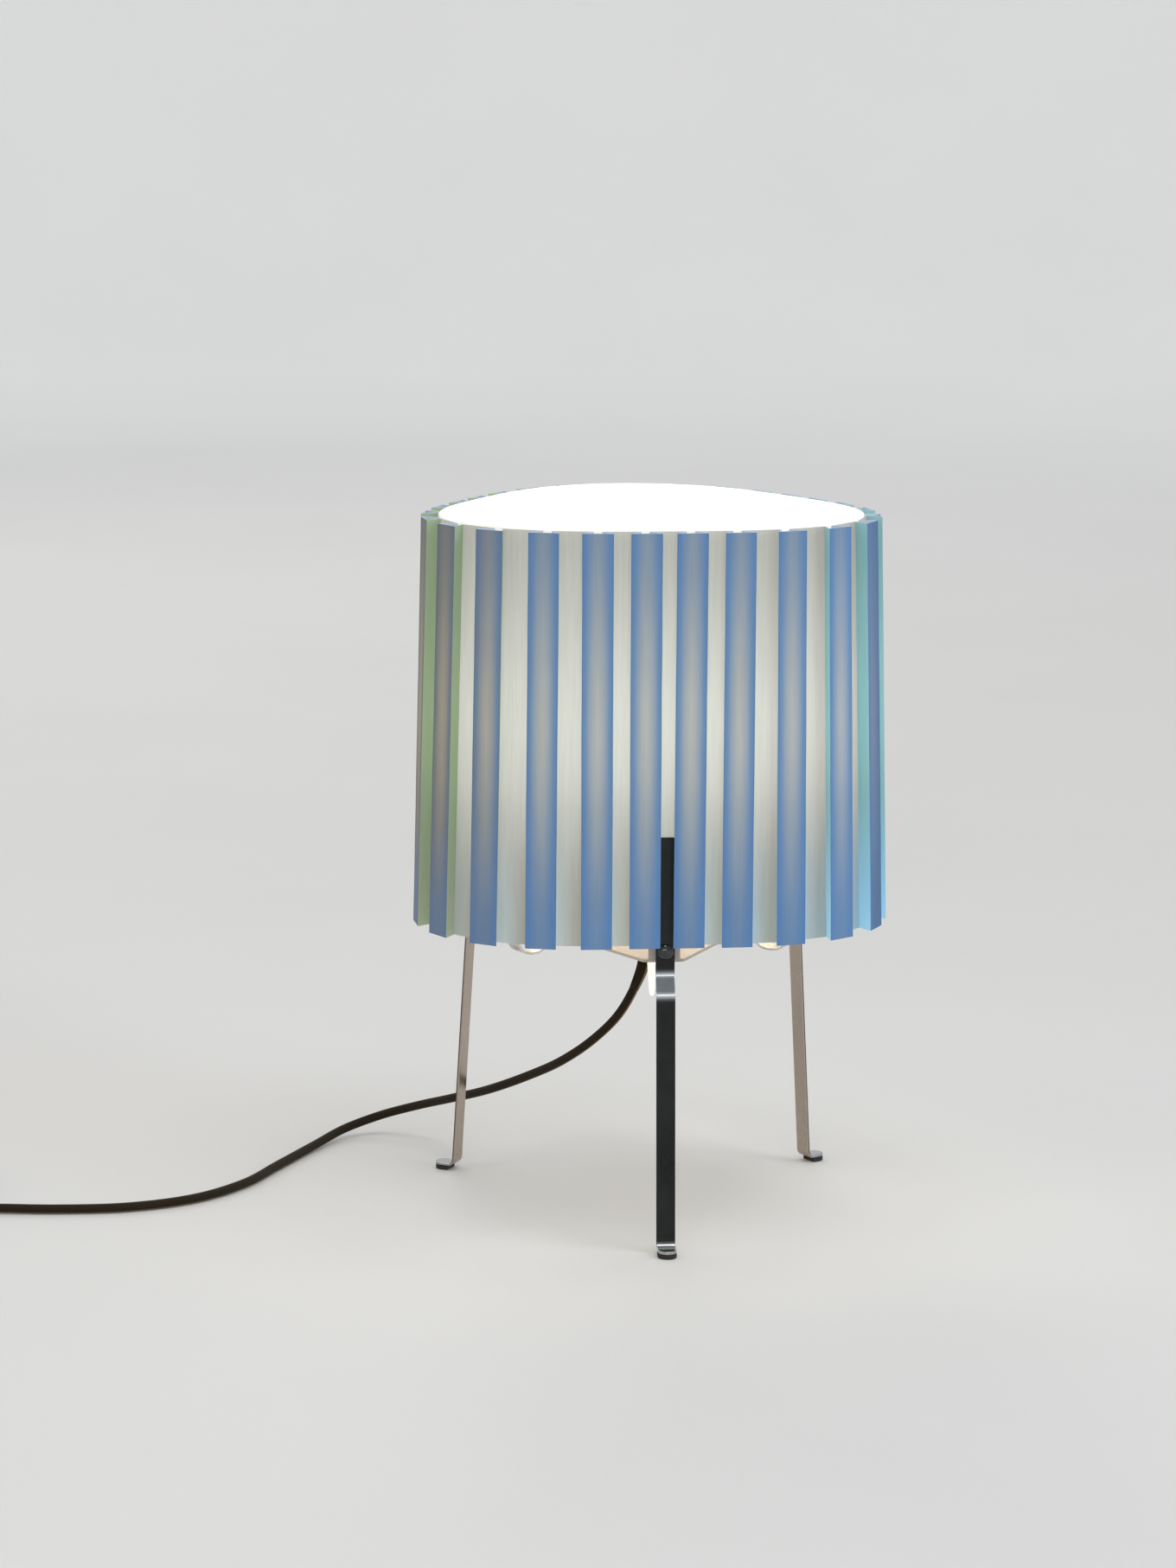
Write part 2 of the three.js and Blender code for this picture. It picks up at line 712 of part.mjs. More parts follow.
// Pull switch: the cord runs in the guide and carries the drop
function dropGeometry() {
  const tip = dropTop - dropLength;
  const profile = dropRadiusShares.map((share, i) => {
    return [share * dropRadius, tip + dropHeightShares[i] * dropLength];
  });
  return revolve(profile, smallSegments);
}

function buildPull() {
  const pull = new THREE.Group();
  const cordTop = housingBottom + guideFoot + guideLength - guideStem;
  const cordBottom = dropTop + seatGap;
  const cord = revolve([
    [0, cordBottom], [pullCordRadius, cordBottom], [pullCordRadius, cordTop], [0, cordTop],
  ], smallSegments);
  const parts = [piece('pull_cord', cord, whiteCord), piece('pull_drop', dropGeometry(), whitePlastic)];
  for (const part of parts) {
    part.position.x = pullReach;
    pull.add(part);
  }
  pull.rotation.z = pullAngle;
  return pull;
}

// Bulb: a pear-shaped opal globe in a screw cap
function globeProfile(radius, neck, neckBottom) {
  const points = [[neck, neckBottom]];
  const shoulderOut = radius * Math.cos(bulbSlopeAngle);
  const shoulderUp = bulbCentre - radius * Math.sin(bulbSlopeAngle);
  points.push([neck, shoulderUp - (shoulderOut - neck) / Math.tan(bulbSlopeAngle)]);
  for (let k = 0; k <= globeSteps; k++) {
    const angle = -bulbSlopeAngle + (Math.PI / 2 + bulbSlopeAngle) * k / globeSteps;
    points.push([radius * Math.cos(angle), bulbCentre + radius * Math.sin(angle)]);
  }
  return points;
}

function glassGeometry(neckBottom) {
  const outer = globeProfile(bulbRadius, bulbNeck, neckBottom);
  const inner = globeProfile(bulbRadius - glassThickness, bulbNeck - glassThickness, neckBottom);
  return revolve([...outer, ...inner.reverse(), outer[0]], largeSegments);
}

function buildBulb() {
  const bulb = new THREE.Group();
  const tipTop = bulbBottom + tipHeight;
  const insulatorBottom = tipTop + seatGap;
  const capBottom = insulatorBottom + insulatorHeight + seatGap;
  const capTop = capBottom + capHeight;
  const capInner = bulbNeck + seatGap;
  const capFloor = capBottom + capWall;
  const tip = revolve([
    [0, bulbBottom], [tipRadius, bulbBottom], [tipRadius, tipTop], [0, tipTop],
  ], smallSegments);
  const insulator = revolve([
    [0, insulatorBottom], [insulatorFoot, insulatorBottom],
    [capInner, capBottom - seatGap], [0, capBottom - seatGap],
  ], mediumSegments);
  const cap = revolve([
    [0, capBottom], [capRadius, capBottom], [capRadius, capTop],
    [capInner, capTop], [capInner, capFloor], [0, capFloor],
  ], mediumSegments);
  bulb.add(piece('bulb_contact', tip, brass));
  bulb.add(piece('bulb_insulator', insulator, blackPlastic));
  bulb.add(piece('bulb_cap', cap, zincSteel));
  bulb.add(piece('bulb_glass', glassGeometry(capTop - capGrasp), opalGlass));
  return bulb;
}

// Route of the cord from the grip to the floor and away to the left, chosen by hand
const cordRoute = [
  [0.2, -0.2, 126], [-4.9, -0.2, 111.7], [-12.9, 2.7, 96.7], [-24.8, 9.2, 82.6], [-40.2, 25.3, 67],
  [-57, 47.7, 53], [-76.9, 73.3, 39], [-94.5, 99, 28], [-113, 120, 18.5], [-132.3, 129.5, 11],
  [-151.8, 123.9, 5.6], [-170.2, 98.9, 3], [-191.9, 60, 2.6], [-210.5, 26, 2.6], [-236.8, 0, 2.6],
  [-270, -13, 2.6], [-306, -14, 2.6], [-342, -10.2, 2.8],
];

// Wound cord: its lowest height, its turns in all, and the radius of its outermost turn
const coilBase = tieThickness + seatGap + cordRadius;
const coilTurns = coilLayers * turnsPerLayer + (coilLayers - 1) * climbTurns;
const coilOuter = coilRadius + coilPitch * turnsPerLayer / 2;

// A point of the wound cord. Each layer winds in or out, then climbs to the next one while it goes round.
function coilPoint(turn) {
  const course = turnsPerLayer + climbTurns;
  const layer = Math.min(Math.floor(turn / course), coilLayers - 1);
  const within = turn - layer * course;
  const wound = Math.min(within, turnsPerLayer);
  const climb = Math.max(within - turnsPerLayer, 0) / climbTurns;
  const inwards = layer % 2 === 0;
  const travelled = coilPitch * wound;
  const radius = inwards ? coilOuter - travelled : coilOuter - coilPitch * turnsPerLayer + travelled;
  const angle = -Math.PI / 2 - 2 * Math.PI * turn;
  const ease = climb * climb * (3 - 2 * climb);
  return new THREE.Vector3(
    coilCentre[0] + radius * Math.cos(angle),
    coilCentre[1] + radius * Math.sin(angle),
    coilBase + coilRise * (layer + ease),
  );
}

// Middle line of the coil, with a straight run of one diameter at each end
function coilLine() {
  const points = [];
  const count = Math.round(coilTurns * coilSteps);
  for (let k = 0; k <= count; k++) points.push(coilPoint(coilTurns * k / count));
  const first = points[0].clone().add(new THREE.Vector3(cordDiameter, 0, 0));
  const last = points[count].clone().add(new THREE.Vector3(-cordDiameter, 0, 0));
  return [first, ...points, last];
}

// Least distance between two stretches of the line that are not neighbours, less the diameter
function leastGap(line) {
  const apart = Math.round(coilSteps / 2);
  const segment = new THREE.Line3();
  const nearest = new THREE.Vector3();
  let least = Infinity;
  for (let i = 0; i < line.length; i++) {
    for (let j = i + apart; j + 1 < line.length; j++) {
      segment.set(line[j], line[j + 1]);
      segment.closestPointToPoint(line[i], true, nearest);
      least = Math.min(least, nearest.distanceTo(line[i]) - cordDiameter);
    }
  }
  return least;
}

// Sweeps a many-sided section along a line of points and closes both ends
function sweptLine(line, radius, sides) {
  const up = new THREE.Vector3(0, 0, 1);
  const positions = [];
  line.forEach((point, i) => {
    const before = line[Math.max(i - 1, 0)];
    const after = line[Math.min(i + 1, line.length - 1)];
    const ahead = after.clone().sub(before).normalize();
    const side = up.clone().cross(ahead).normalize();
    const top = ahead.clone().cross(side);
    for (let k = 0; k < sides; k++) {
      const angle = 2 * Math.PI * (k + 0.5) / sides;
      const rim = point.clone().addScaledVector(side, radius * Math.cos(angle));
      rim.addScaledVector(top, radius * Math.sin(angle));
      positions.push(rim.x, rim.y, rim.z);
    }
  });
  const faces = [];
  const last = (line.length - 1) * sides;
  for (let k = 0; k < sides; k++) {
    const next = (k + 1) % sides;
    for (let i = 0; i < line.length - 1; i++) {
      const [a, b] = [i * sides + k, i * sides + next];
      faces.push(a, b, b + sides, a, b + sides, a + sides);
    }
    if (k > 0 && k < sides - 1) {
      faces.push(0, next, k, last, last + k, last + next);
    }
  }
  const geometry = new THREE.BufferGeometry();
  geometry.setAttribute('position', new THREE.Float32BufferAttribute(positions, 3));
  geometry.setIndex(faces);
  return geometry;
}

// A round section drawn along a smooth curve
function sweptCurve(points, radius, sides, step) {
  const path = new THREE.CatmullRomCurve3(points, false, 'centripetal');
  const section = new THREE.Shape();
  for (let k = 0; k < sides; k++) {
    const angle = 2 * Math.PI * k / sides;
    const corner = [radius * Math.cos(angle), radius * Math.sin(angle)];
    if (k === 0) section.moveTo(...corner);
    else section.lineTo(...corner);
  }
  const steps = Math.ceil(path.getLength() / step);
  return new THREE.ExtrudeGeometry(section, { steps, extrudePath: path, bevelEnabled: false });
}

// Band round the bundle of turns, drawn as (out, up) from the middle of the coil
function tieGeometry() {
  const half = coilPitch * turnsPerLayer / 2 + cordRadius + seatGap;
  const box = (grow) => {
    const inner = coilRadius - half - grow;
    const outer = coilRadius + half + grow;
    const bottom = tieThickness - grow;
    const top = coilBase + coilRise * (coilLayers - 1) + cordRadius + seatGap + grow;
    const corners = [[inner, bottom], [outer, bottom], [outer, top], [inner, top]];
    const radii = corners.map(() => tieThickness / 2 + grow);
    return roundedOutline(corners.map(([x, y]) => new THREE.Vector2(x, y)), radii);
  };
  const shape = box(tieThickness);
  shape.holes.push(box(0));
  return sideways(shape, tieWidth);
}

function plugGeometry() {
  const corners = [
    [0, -plugBack / 2], [plugLength, -plugFront / 2], [plugLength, plugFront / 2], [0, plugBack / 2],
  ];
  const points = corners.map(([x, y]) => new THREE.Vector2(x, y));
  const outline = roundedOutline(points, corners.map(() => plugCorner));
  return upwards(outline, seatGap, seatGap + plugThickness);
}

function buildCord() {
  const cord = new THREE.Group();
  const line = coilLine();
  const entry = line[0].clone().add(new THREE.Vector3(seatGap, 0, 0));
  const lead = [new THREE.Vector3(0, 0, cordStart), new THREE.Vector3(0, 0, gripBottom)];
  for (const [x, y, z] of cordRoute) lead.push(new THREE.Vector3(x, y, z));
  lead.push(entry.clone().add(new THREE.Vector3(cordDiameter, 0, 0)), entry);
  const exit = line[line.length - 1].clone().add(new THREE.Vector3(-seatGap, 0, 0));
  const plugHeight = seatGap + plugThickness / 2;
  const plugStart = exit.x - tailLength;
  const fall = exit.z - plugHeight;
  const tail = [exit];
  tailShares.forEach((share, i) => {
    tail.push(new THREE.Vector3(exit.x - share * tailLength, exit.y, exit.z - tailFallShares[i] * fall));
  });
  const tie = piece('cord_tie', tieGeometry(), blackPlastic);
  tie.position.set(...coilCentre, 0);
  tie.rotation.z = tieAngle;
  const plug = piece('plug_body', plugGeometry(), blackPlastic);
  plug.position.set(plugStart - seatGap, exit.y, 0);
  plug.rotation.z = Math.PI;
  cord.add(piece('cord_lead', sweptCurve(lead, cordRadius, cordSides, cordStep), braid));
  cord.add(piece('cord_coil', sweptLine(line, cordRadius, coilSides), braid));
  cord.add(piece('cord_tail', sweptCurve(tail, cordRadius, cordSides, cordStep), braid));
  cord.add(tie, plug);
  for (const side of [-1, 1]) {
    const name = side < 0 ? 'plug_pin_left' : 'plug_pin_right';
    const pin = new THREE.CylinderGeometry(pinRadius, pinRadius, pinLength, smallSegments).rotateZ(Math.PI / 2);
    const mesh = piece(name, pin, zincSteel);
    const pinMiddle = plugStart - 2 * seatGap - plugLength - pinLength / 2;
    mesh.position.set(pinMiddle, exit.y + side * pinSpacing / 2, plugHeight);
    cord.add(mesh);
  }
  console.log(`least gap of the coil to itself: ${leastGap(line).toFixed(2)} mm`);
  return cord;
}

// The lamp is drawn about its own axis, then moved so that the middle of its footprint is the origin
const body = new THREE.Group();
legAngles.forEach((angle, i) => body.add(buildLeg(legNames[i], angle)));
body.add(piece('hub_plate', plateGeometry(), plateFinish));
lobeAngles.forEach((angle, i) => body.add(buildArm(lobeNames[i], angle)));
body.add(buildShade(), buildLampholder(), buildPull(), buildBulb());
const footprint = new THREE.Box3().setFromObject(body, true).getCenter(new THREE.Vector3());

const lamp = new THREE.Group();
lamp.add(body, buildCord());
lamp.position.set(-footprint.x, -footprint.y, 0);

const root = new THREE.Group();
root.add(lamp);

export default root;
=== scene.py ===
"""Tripod table lamp: a pleated three-lobed shade standing in the fingers of three strip legs."""

import math

import bmesh
import bpy
from bpy.props import FloatProperty, FloatVectorProperty, IntProperty, PointerProperty
from mathutils import Matrix, Vector


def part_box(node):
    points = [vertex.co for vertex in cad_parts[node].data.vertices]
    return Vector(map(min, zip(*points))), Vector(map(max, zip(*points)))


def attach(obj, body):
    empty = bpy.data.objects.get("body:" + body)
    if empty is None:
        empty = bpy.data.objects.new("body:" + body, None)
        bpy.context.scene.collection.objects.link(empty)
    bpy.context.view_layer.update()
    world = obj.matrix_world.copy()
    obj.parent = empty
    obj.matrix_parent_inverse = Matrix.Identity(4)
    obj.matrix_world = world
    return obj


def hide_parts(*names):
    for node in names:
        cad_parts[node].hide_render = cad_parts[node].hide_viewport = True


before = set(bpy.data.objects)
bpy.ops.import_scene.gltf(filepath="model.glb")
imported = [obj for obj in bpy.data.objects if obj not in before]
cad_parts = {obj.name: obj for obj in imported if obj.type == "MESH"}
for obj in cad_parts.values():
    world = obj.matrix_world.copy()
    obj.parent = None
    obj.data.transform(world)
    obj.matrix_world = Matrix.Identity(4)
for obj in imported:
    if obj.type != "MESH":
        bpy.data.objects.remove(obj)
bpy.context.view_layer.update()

bl_info = {
    "name": "Tripod Table Lamp",
    "version": (1, 0, 0),
    "blender": (4, 5, 0),
    "location": "View3D > Sidebar > Table Lamp",
    "description": "Dresses the packed tripod table lamp piece by piece",
    "category": "Object",
}

BLACK = (0, 0, 0)
WHITE = (1, 1, 1)
LEG_ANGLES = [math.radians(a) for a in (-90, 30, 150)]
LOBE_ANGLES = [math.radians(a) for a in (-30, 90, 210)]
LEG_NAMES = ("front", "right", "left")
LOBE_NAMES = ("right", "rear", "left")

# Shares of a pleat's pitch just before and just after each fold. The recess runs across the pitch's ends.
RECESS_END, TEAL_START = 0.1655, 0.1675
TEAL_END, FACE_START = 0.3325, 0.3345
FACE_END, OLIVE_START = 0.6655, 0.6675
OLIVE_END, RECESS_START = 0.8325, 0.8345
HALF_FACE = 0.1662

# Radii of the shade between which its light falls off, and the height of the bulb's waist.
NEAR_RADIUS, FAR_RADIUS = 0.096, 0.122
GLOW_HEIGHT = 0.272

# Light that reaches the drop of the pull, and the tints of the pull's cotton cord.
DROP_GLOW = (0.55, 0.53, 0.50)
COTTON = (0.66, 0.63, 0.56)
COTTON_FLECK = (0.8, 0.77, 0.7)
COTTON_PITCH = 0.004

nipple_low, nipple_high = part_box("holder_nipple")
AXIS = Vector(((nipple_low[0] + nipple_high[0]) / 2, (nipple_low[1] + nipple_high[1]) / 2, 0))


def heights(node):
    """Bottom and top of a CAD node."""
    low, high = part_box(node)
    return low[2], high[2]


def box_ends(node):
    """The two end corners of a CAD node's box."""
    return [Vector(corner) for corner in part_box(node)]


# Sizes and colours that a user would change.


def length(name, description, default):
    return FloatProperty(name=name, description=description, default=default, min=0.0, unit="LENGTH")


def colour(name, description, default):
    return FloatVectorProperty(
        name=name, description=description, default=default, size=3, min=0.0, max=1.0, subtype="COLOR")


class LampShadeSizes(bpy.types.PropertyGroup):
    pleat_count: IntProperty(name="Pleats", description="Pleats round the shade", default=27, min=6)
    face_width: length("Face width", "Width of the outward face of a pleat", 0.0158)
    neck_width: length("Neck width", "Width of a pleat where it meets the liner", 0.006)
    pleat_depth: length("Pleat depth", "How far a pleat stands out from the liner", 0.0081)
    flat_radius: length("Flat radius", "Radius of the shade behind a finger", 0.0962)
    lobe_bottom: length("Lobe radius, bottom", "Radius of a lobe's pleats at the bottom edge", 0.1297)
    lobe_top: length("Lobe radius, top", "Radius of a lobe's pleats at the top edge", 0.124)
    sheet: length("Cover thickness", "Thickness of the folded sheet", 0.0006)
    wall: length("Liner thickness", "Thickness of the smooth liner", 0.0008)
    waviness: length("Waviness", "How far the folded sheet strays from flat", 0.00016)


class LampStripSizes(bpy.types.PropertyGroup):
    width: length("Strip width", "Width of the legs and spring arms", 0.0096)
    thickness: length("Strip thickness", "Thickness of the legs and spring arms", 0.0015)
    edge: length("Edge radius", "Rounding along the edges of the strip", 0.00032)
    finger_radius: length("Finger radius", "From the lamp's axis to the middle of a finger", 0.09725)
    finger_top: length("Finger top", "Height of the top of a finger", 0.2115)


class LampCordSizes(bpy.types.PropertyGroup):
    diameter: length("Cord diameter", "Outside diameter of the braided cord", 0.0048)
    braid_pitch: length("Braid pitch", "Length of cord in which a strand goes once round", 0.0105)


class LampColours(bpy.types.PropertyGroup):
    face_edge: colour("Pleat edge", "Blue of the outward faces along their edges", (0.082, 0.205, 0.44))
    # The middle tint is partly painted light through the sheet, greyer than the blue edges.
    face_middle: colour("Pleat middle", "Grey blue in the middle of the outward faces", (0.155, 0.245, 0.36))
    # Painted shade: outward faces on the lamp's left turn grey brown.
    left_side_shade: colour("Faded faces", "Grey brown of the outward faces on the lamp's left", (0.155, 0.14, 0.115))
    rim: colour("Cut edges", "Pale lavender of the sheet's cut edges", (0.42, 0.47, 0.55))
    # The flank tints are painted light: one side of each pleat cooler, the other warmer.
    left_flank: colour("Left flank", "Pale teal of a pleat's left side", (0.27, 0.46, 0.48))
    right_flank: colour("Right flank", "Pale olive of a pleat's right side", (0.30, 0.40, 0.27))
    recess: colour("Recess", "Pale sheet between the pleats", (0.24, 0.23, 0.20))
    liner: colour("Liner", "Smooth white liner", (0.80, 0.78, 0.72))
    glow: colour("Glow", "Colour of the bulb's light", (1.0, 0.90, 0.74))
    strip_dark: colour("Strip outside", "Dark outside of the strip legs", (0.028, 0.029, 0.0295))
    # The inside tint below is a painted reflection: the inner faces are drawn lighter and warmer than the
    # outside.
    strip_inner_reflection: colour("Strip inside", "Satin inside of the strip legs", (0.47, 0.395, 0.33))
    zinc: colour("Zinc", "Plated small parts and spring arms", (0.70, 0.68, 0.64))
    brass: colour("Brass", "Contacts and screw sleeve", (0.62, 0.44, 0.17))
    plate: colour("Plate", "Cream paint of the hub plate", (0.40, 0.355, 0.325))
    white: colour("White plastic", "Lampholder and pull", (0.80, 0.78, 0.73))
    black: colour("Black plastic", "Grip, plug and switch block", (0.016, 0.016, 0.017))
    rubber: colour("Rubber", "Foot pads", (0.012, 0.012, 0.013))
    braid_dark: colour("Braid", "Ground strands of the cord", (0.022, 0.0145, 0.006))
    braid_light: colour("Braid fleck", "Light strands of the cord", (0.36, 0.25, 0.11))
    floor: colour("Floor", "Pale floor and backdrop", (0.64, 0.63, 0.615))


SETTINGS = {
    "lamp_shade_sizes": LampShadeSizes,
    "lamp_strip_sizes": LampStripSizes,
    "lamp_cord_sizes": LampCordSizes,
    "lamp_colours": LampColours,
}


# Drawing node trees.


class NodeSheet:
    """A node tree that is being drawn, with short ways to add and join its nodes."""

    def __init__(self, tree):
        self.tree = tree

    def feed(self, socket, value):
        if isinstance(value, bpy.types.NodeSocket):
            self.tree.links.new(value, socket)
        else:
            socket.default_value = value

    def add(self, kind, inputs=None, **settings):
        """A new node with these settings, its inputs fed by name or by number."""
        node = self.tree.nodes.new(kind)
        for key, value in settings.items():
            setattr(node, key, value)
        for key, value in (inputs or {}).items():
            self.feed(node.inputs[key], value)
        return node

    def sum(self, operation, *values):
        return self.add("ShaderNodeMath", dict(enumerate(values)), operation=operation).outputs[0]

    def plus(self, one, other):
        return self.sum("ADD", one, other)

    def minus(self, one, other):
        return self.sum("SUBTRACT", one, other)

    def times(self, one, other):
        return self.sum("MULTIPLY", one, other)

    def vector(self, operation, *values):
        node = self.add("ShaderNodeVectorMath", dict(enumerate(values)), operation=operation)
        return node.outputs["Value" if operation == "LENGTH" else "Vector"]

    def scaled(self, vector, factor):
        node = self.add("ShaderNodeVectorMath", {0: vector, "Scale": factor}, operation="SCALE")
        return node.outputs["Vector"]

    def join(self, x, y, z):
        return self.add("ShaderNodeCombineXYZ", {"X": x, "Y": y, "Z": z}).outputs[0]

    def split(self, vector):
        return self.add("ShaderNodeSeparateXYZ", {0: vector}).outputs

    def remap(self, value, from_low, from_high, to_low, to_high, smooth=False):
        numbers = dict(enumerate((value, from_low, from_high, to_low, to_high)))
        way = "SMOOTHSTEP" if smooth else "LINEAR"
        return self.add("ShaderNodeMapRange", numbers, interpolation_type=way).outputs[0]


class FinishSheet(NodeSheet):
    """A material that is being drawn, with patterns on Object coordinates or on the piece's own UV."""

    def __init__(self, name):
        self.material = bpy.data.materials.new(name)
        self.material.use_nodes = True
        super().__init__(self.material.node_tree)
        self.shader = self.tree.nodes["Principled BSDF"]
        self.place = self.add("ShaderNodeTexCoord")

    def set(self, **values):
        for key, value in values.items():
            self.feed(self.shader.inputs[key.replace("_", " ")], value)

    def mark(self, name):
        """A number that the mesh carries at its points."""
        return self.add("ShaderNodeAttribute", attribute_name=name).outputs["Fac"]

    def noise(self, scale, detail, roughness, stretch=(1, 1, 1), distortion=0.0):
        mapping = self.add("ShaderNodeMapping", {"Scale": stretch, "Vector": self.place.outputs["Object"]})
        texture = self.add("ShaderNodeTexNoise", {
            "Vector": mapping.outputs[0], "Scale": scale, "Detail": detail, "Roughness": roughness,
            "Distortion": distortion})
        return texture.outputs["Fac"]

    def ramp(self, value, stops, interpolation="LINEAR"):
        node = self.add("ShaderNodeValToRGB")
        elements = node.color_ramp.elements
        node.color_ramp.interpolation = interpolation
        while len(elements) < len(stops):
            elements.new(1.0)
        for element, (position, tint) in zip(elements, stops):
            element.position = position
            element.color = (*tint, 1.0)
        self.feed(node.inputs[0], value)
        return node.outputs[0]

    def shades(self, value, tint, *stops):
        """A ramp through shades of one tint, from (position, factor) pairs."""
        return self.ramp(value, [(at, shade_of(tint, factor)) for at, factor in stops])

    def levels(self, value, *stops, interpolation="LINEAR"):
        """A ramp from (position, level) pairs that changes in brightness only."""
        return self.ramp(value, [(at, (level, level, level)) for at, level in stops], interpolation)

    def mix(self, factor, one, other, blend="MIX"):
        inputs = {"Factor": factor, 6: rgba(one), 7: rgba(other)}
        return self.add("ShaderNodeMix", inputs, data_type="RGBA", blend_type=blend).outputs[2]

    def bump(self, height, strength, distance):
        node = self.add("ShaderNodeBump", {"Strength": strength, "Distance": distance, "Height": height})
        self.set(Normal=node.outputs[0])


def rgba(value):
    if isinstance(value, bpy.types.NodeSocket):
        return value
    return (*tuple(value)[:3], 1.0)


def shade_of(tint, factor):
    """The same tint, darker or lighter."""
    return tuple(min(1.0, part * factor) for part in tuple(tint)[:3])


def between(one, other, share):
    return tuple(a + (b - a) * share for a, b in zip(one, other))


def mirrored(stops):
    """The same stops on the other half of a ramp."""
    return [(1.0 - at, tint) for at, tint in reversed(stops)]


# Finishes.


def satin_steel(colours):
    """Strip steel: dark outside, a lighter warm inside that is a painted reflection, painted highlights at
    the bends, and a fine grain along its length.
    """
    sheet = FinishSheet("dark_steel")
    grain = sheet.noise(5200, 3, 0.5, (1, 1, 0.018))
    cloud = sheet.noise(60, 4, 0.6)
    scuffs = sheet.noise(420, 6, 0.7, (1, 1, 0.12), 0.6)
    inner, bend_highlight = sheet.mark("inner_face"), sheet.mark("burnished")
    highlight_tint = (0.62, 0.65, 0.68)
    dark = sheet.shades(cloud, colours.strip_dark, (0.3, 0.86), (0.7, 1.18))
    light = sheet.shades(grain, colours.strip_inner_reflection, (0.25, 0.86), (0.8, 1.1))
    # Painted reflection: the inner faces are lighter and warm.
    body = sheet.mix(inner, dark, light)
    scuff_and_sheen = sheet.remap(scuffs, 0.68, 0.78, 0.0, 0.12)
    wear_and_highlight = sheet.mix(scuff_and_sheen, body, shade_of(colours.strip_inner_reflection, 0.8))
    # Painted highlight: light steel where the strip was bent and, weaker, between the joggle's bends.
    sheet.set(Base_Color=sheet.mix(bend_highlight, wear_and_highlight, highlight_tint), Metallic=1.0)
    satin = sheet.plus(
        sheet.remap(cloud, 0.3, 0.7, 0.25, 0.33), sheet.remap(grain, 0.2, 0.8, -0.03, 0.04))
    sheet.set(Roughness=sheet.minus(satin, sheet.times(bend_highlight, 0.12)))
    sheet.bump(grain, 0.10, 0.00002)
    return sheet.material


def polished_dark_steel(colours):
    """Screw heads: dark steel, turned smooth and polished."""
    sheet = FinishSheet("dark_screw")
    cloud = sheet.noise(900, 3, 0.5)
    tint = sheet.shades(cloud, colours.strip_dark, (0.3, 1.8), (0.75, 3.2))
    sheet.set(Base_Color=tint, Metallic=1.0, Roughness=sheet.remap(cloud, 0.3, 0.7, 0.07, 0.13))
    sheet.bump(sheet.noise(2600, 2, 0.4), 0.06, 0.00002)
    return sheet.material


def zinc_plate(colours):
    """Bright plating of the small parts and the spring arms, slightly clouded."""
    sheet = FinishSheet("zinc_steel")
    cloud = sheet.noise(240, 5, 0.62)
    grain = sheet.noise(3800, 3, 0.5)
    tint = sheet.shades(cloud, colours.zinc, (0.28, 0.80), (0.55, 1.0), (0.78, 1.22))
    sheet.set(Base_Color=tint, Metallic=1.0, Roughness=sheet.remap(cloud, 0.3, 0.7, 0.22, 0.36))
    sheet.bump(grain, 0.12, 0.00002)
    return sheet.material


def brass_metal(colours):
    """Brass of the contacts, darker in patches."""
    sheet = FinishSheet("brass")
    cloud = sheet.noise(180, 5, 0.6)
    tint = sheet.shades(cloud, colours.brass, (0.3, 0.7), (0.65, 1.0))
    sheet.set(Base_Color=tint, Metallic=1.0, Roughness=sheet.remap(cloud, 0.3, 0.7, 0.26, 0.4))
    sheet.bump(sheet.noise(2800, 3, 0.5), 0.1, 0.00002)
    return sheet.material


def cream_paint(colours):
    """Powder coat of the hub plate, with its fine orange peel."""
    sheet = FinishSheet("plate_finish")
    cloud = sheet.noise(55, 4, 0.6)
    peel = sheet.noise(2100, 3, 0.5)
    tint = sheet.shades(cloud, colours.plate, (0.3, 0.92), (0.7, 1.04))
    sheet.set(Base_Color=tint, Roughness=sheet.remap(peel, 0.3, 0.7, 0.42, 0.54))
    sheet.bump(peel, 0.25, 0.00006)
    return sheet.material


def soft_rubber(colours):
    """Matt rubber of the foot pads."""
    sheet = FinishSheet("rubber")
    grain = sheet.noise(1600, 5, 0.65)
    tint = sheet.shades(grain, colours.rubber, (0.3, 0.8), (0.75, 1.9))
    sheet.set(Base_Color=tint, Roughness=sheet.remap(grain, 0.3, 0.7, 0.68, 0.85))
    sheet.bump(grain, 0.3, 0.00008)
    return sheet.material


def moulded_plastic(name, tint, roughness, glow=None):
    """Moulded plastic: slight mottling, fine spark-eroded grain, and a painted glow if one is given."""
    sheet = FinishSheet(name)
    cloud = sheet.noise(70, 4, 0.55)
    grain = sheet.noise(2400, 4, 0.6)
    sheet.set(Base_Color=sheet.shades(cloud, tint, (0.3, 0.94), (0.7, 1.05)))
    sheet.set(Roughness=sheet.remap(grain, 0.3, 0.7, roughness - 0.05, roughness + 0.06))
    # Painted light: the piece glows as if light falls on it.
    if glow:
        sheet.set(Emission_Color=sheet.shades(cloud, glow, (0.3, 0.9), (0.7, 1.0)), Emission_Strength=1.0)
    sheet.bump(grain, 0.16, 0.00004)
    return sheet.material


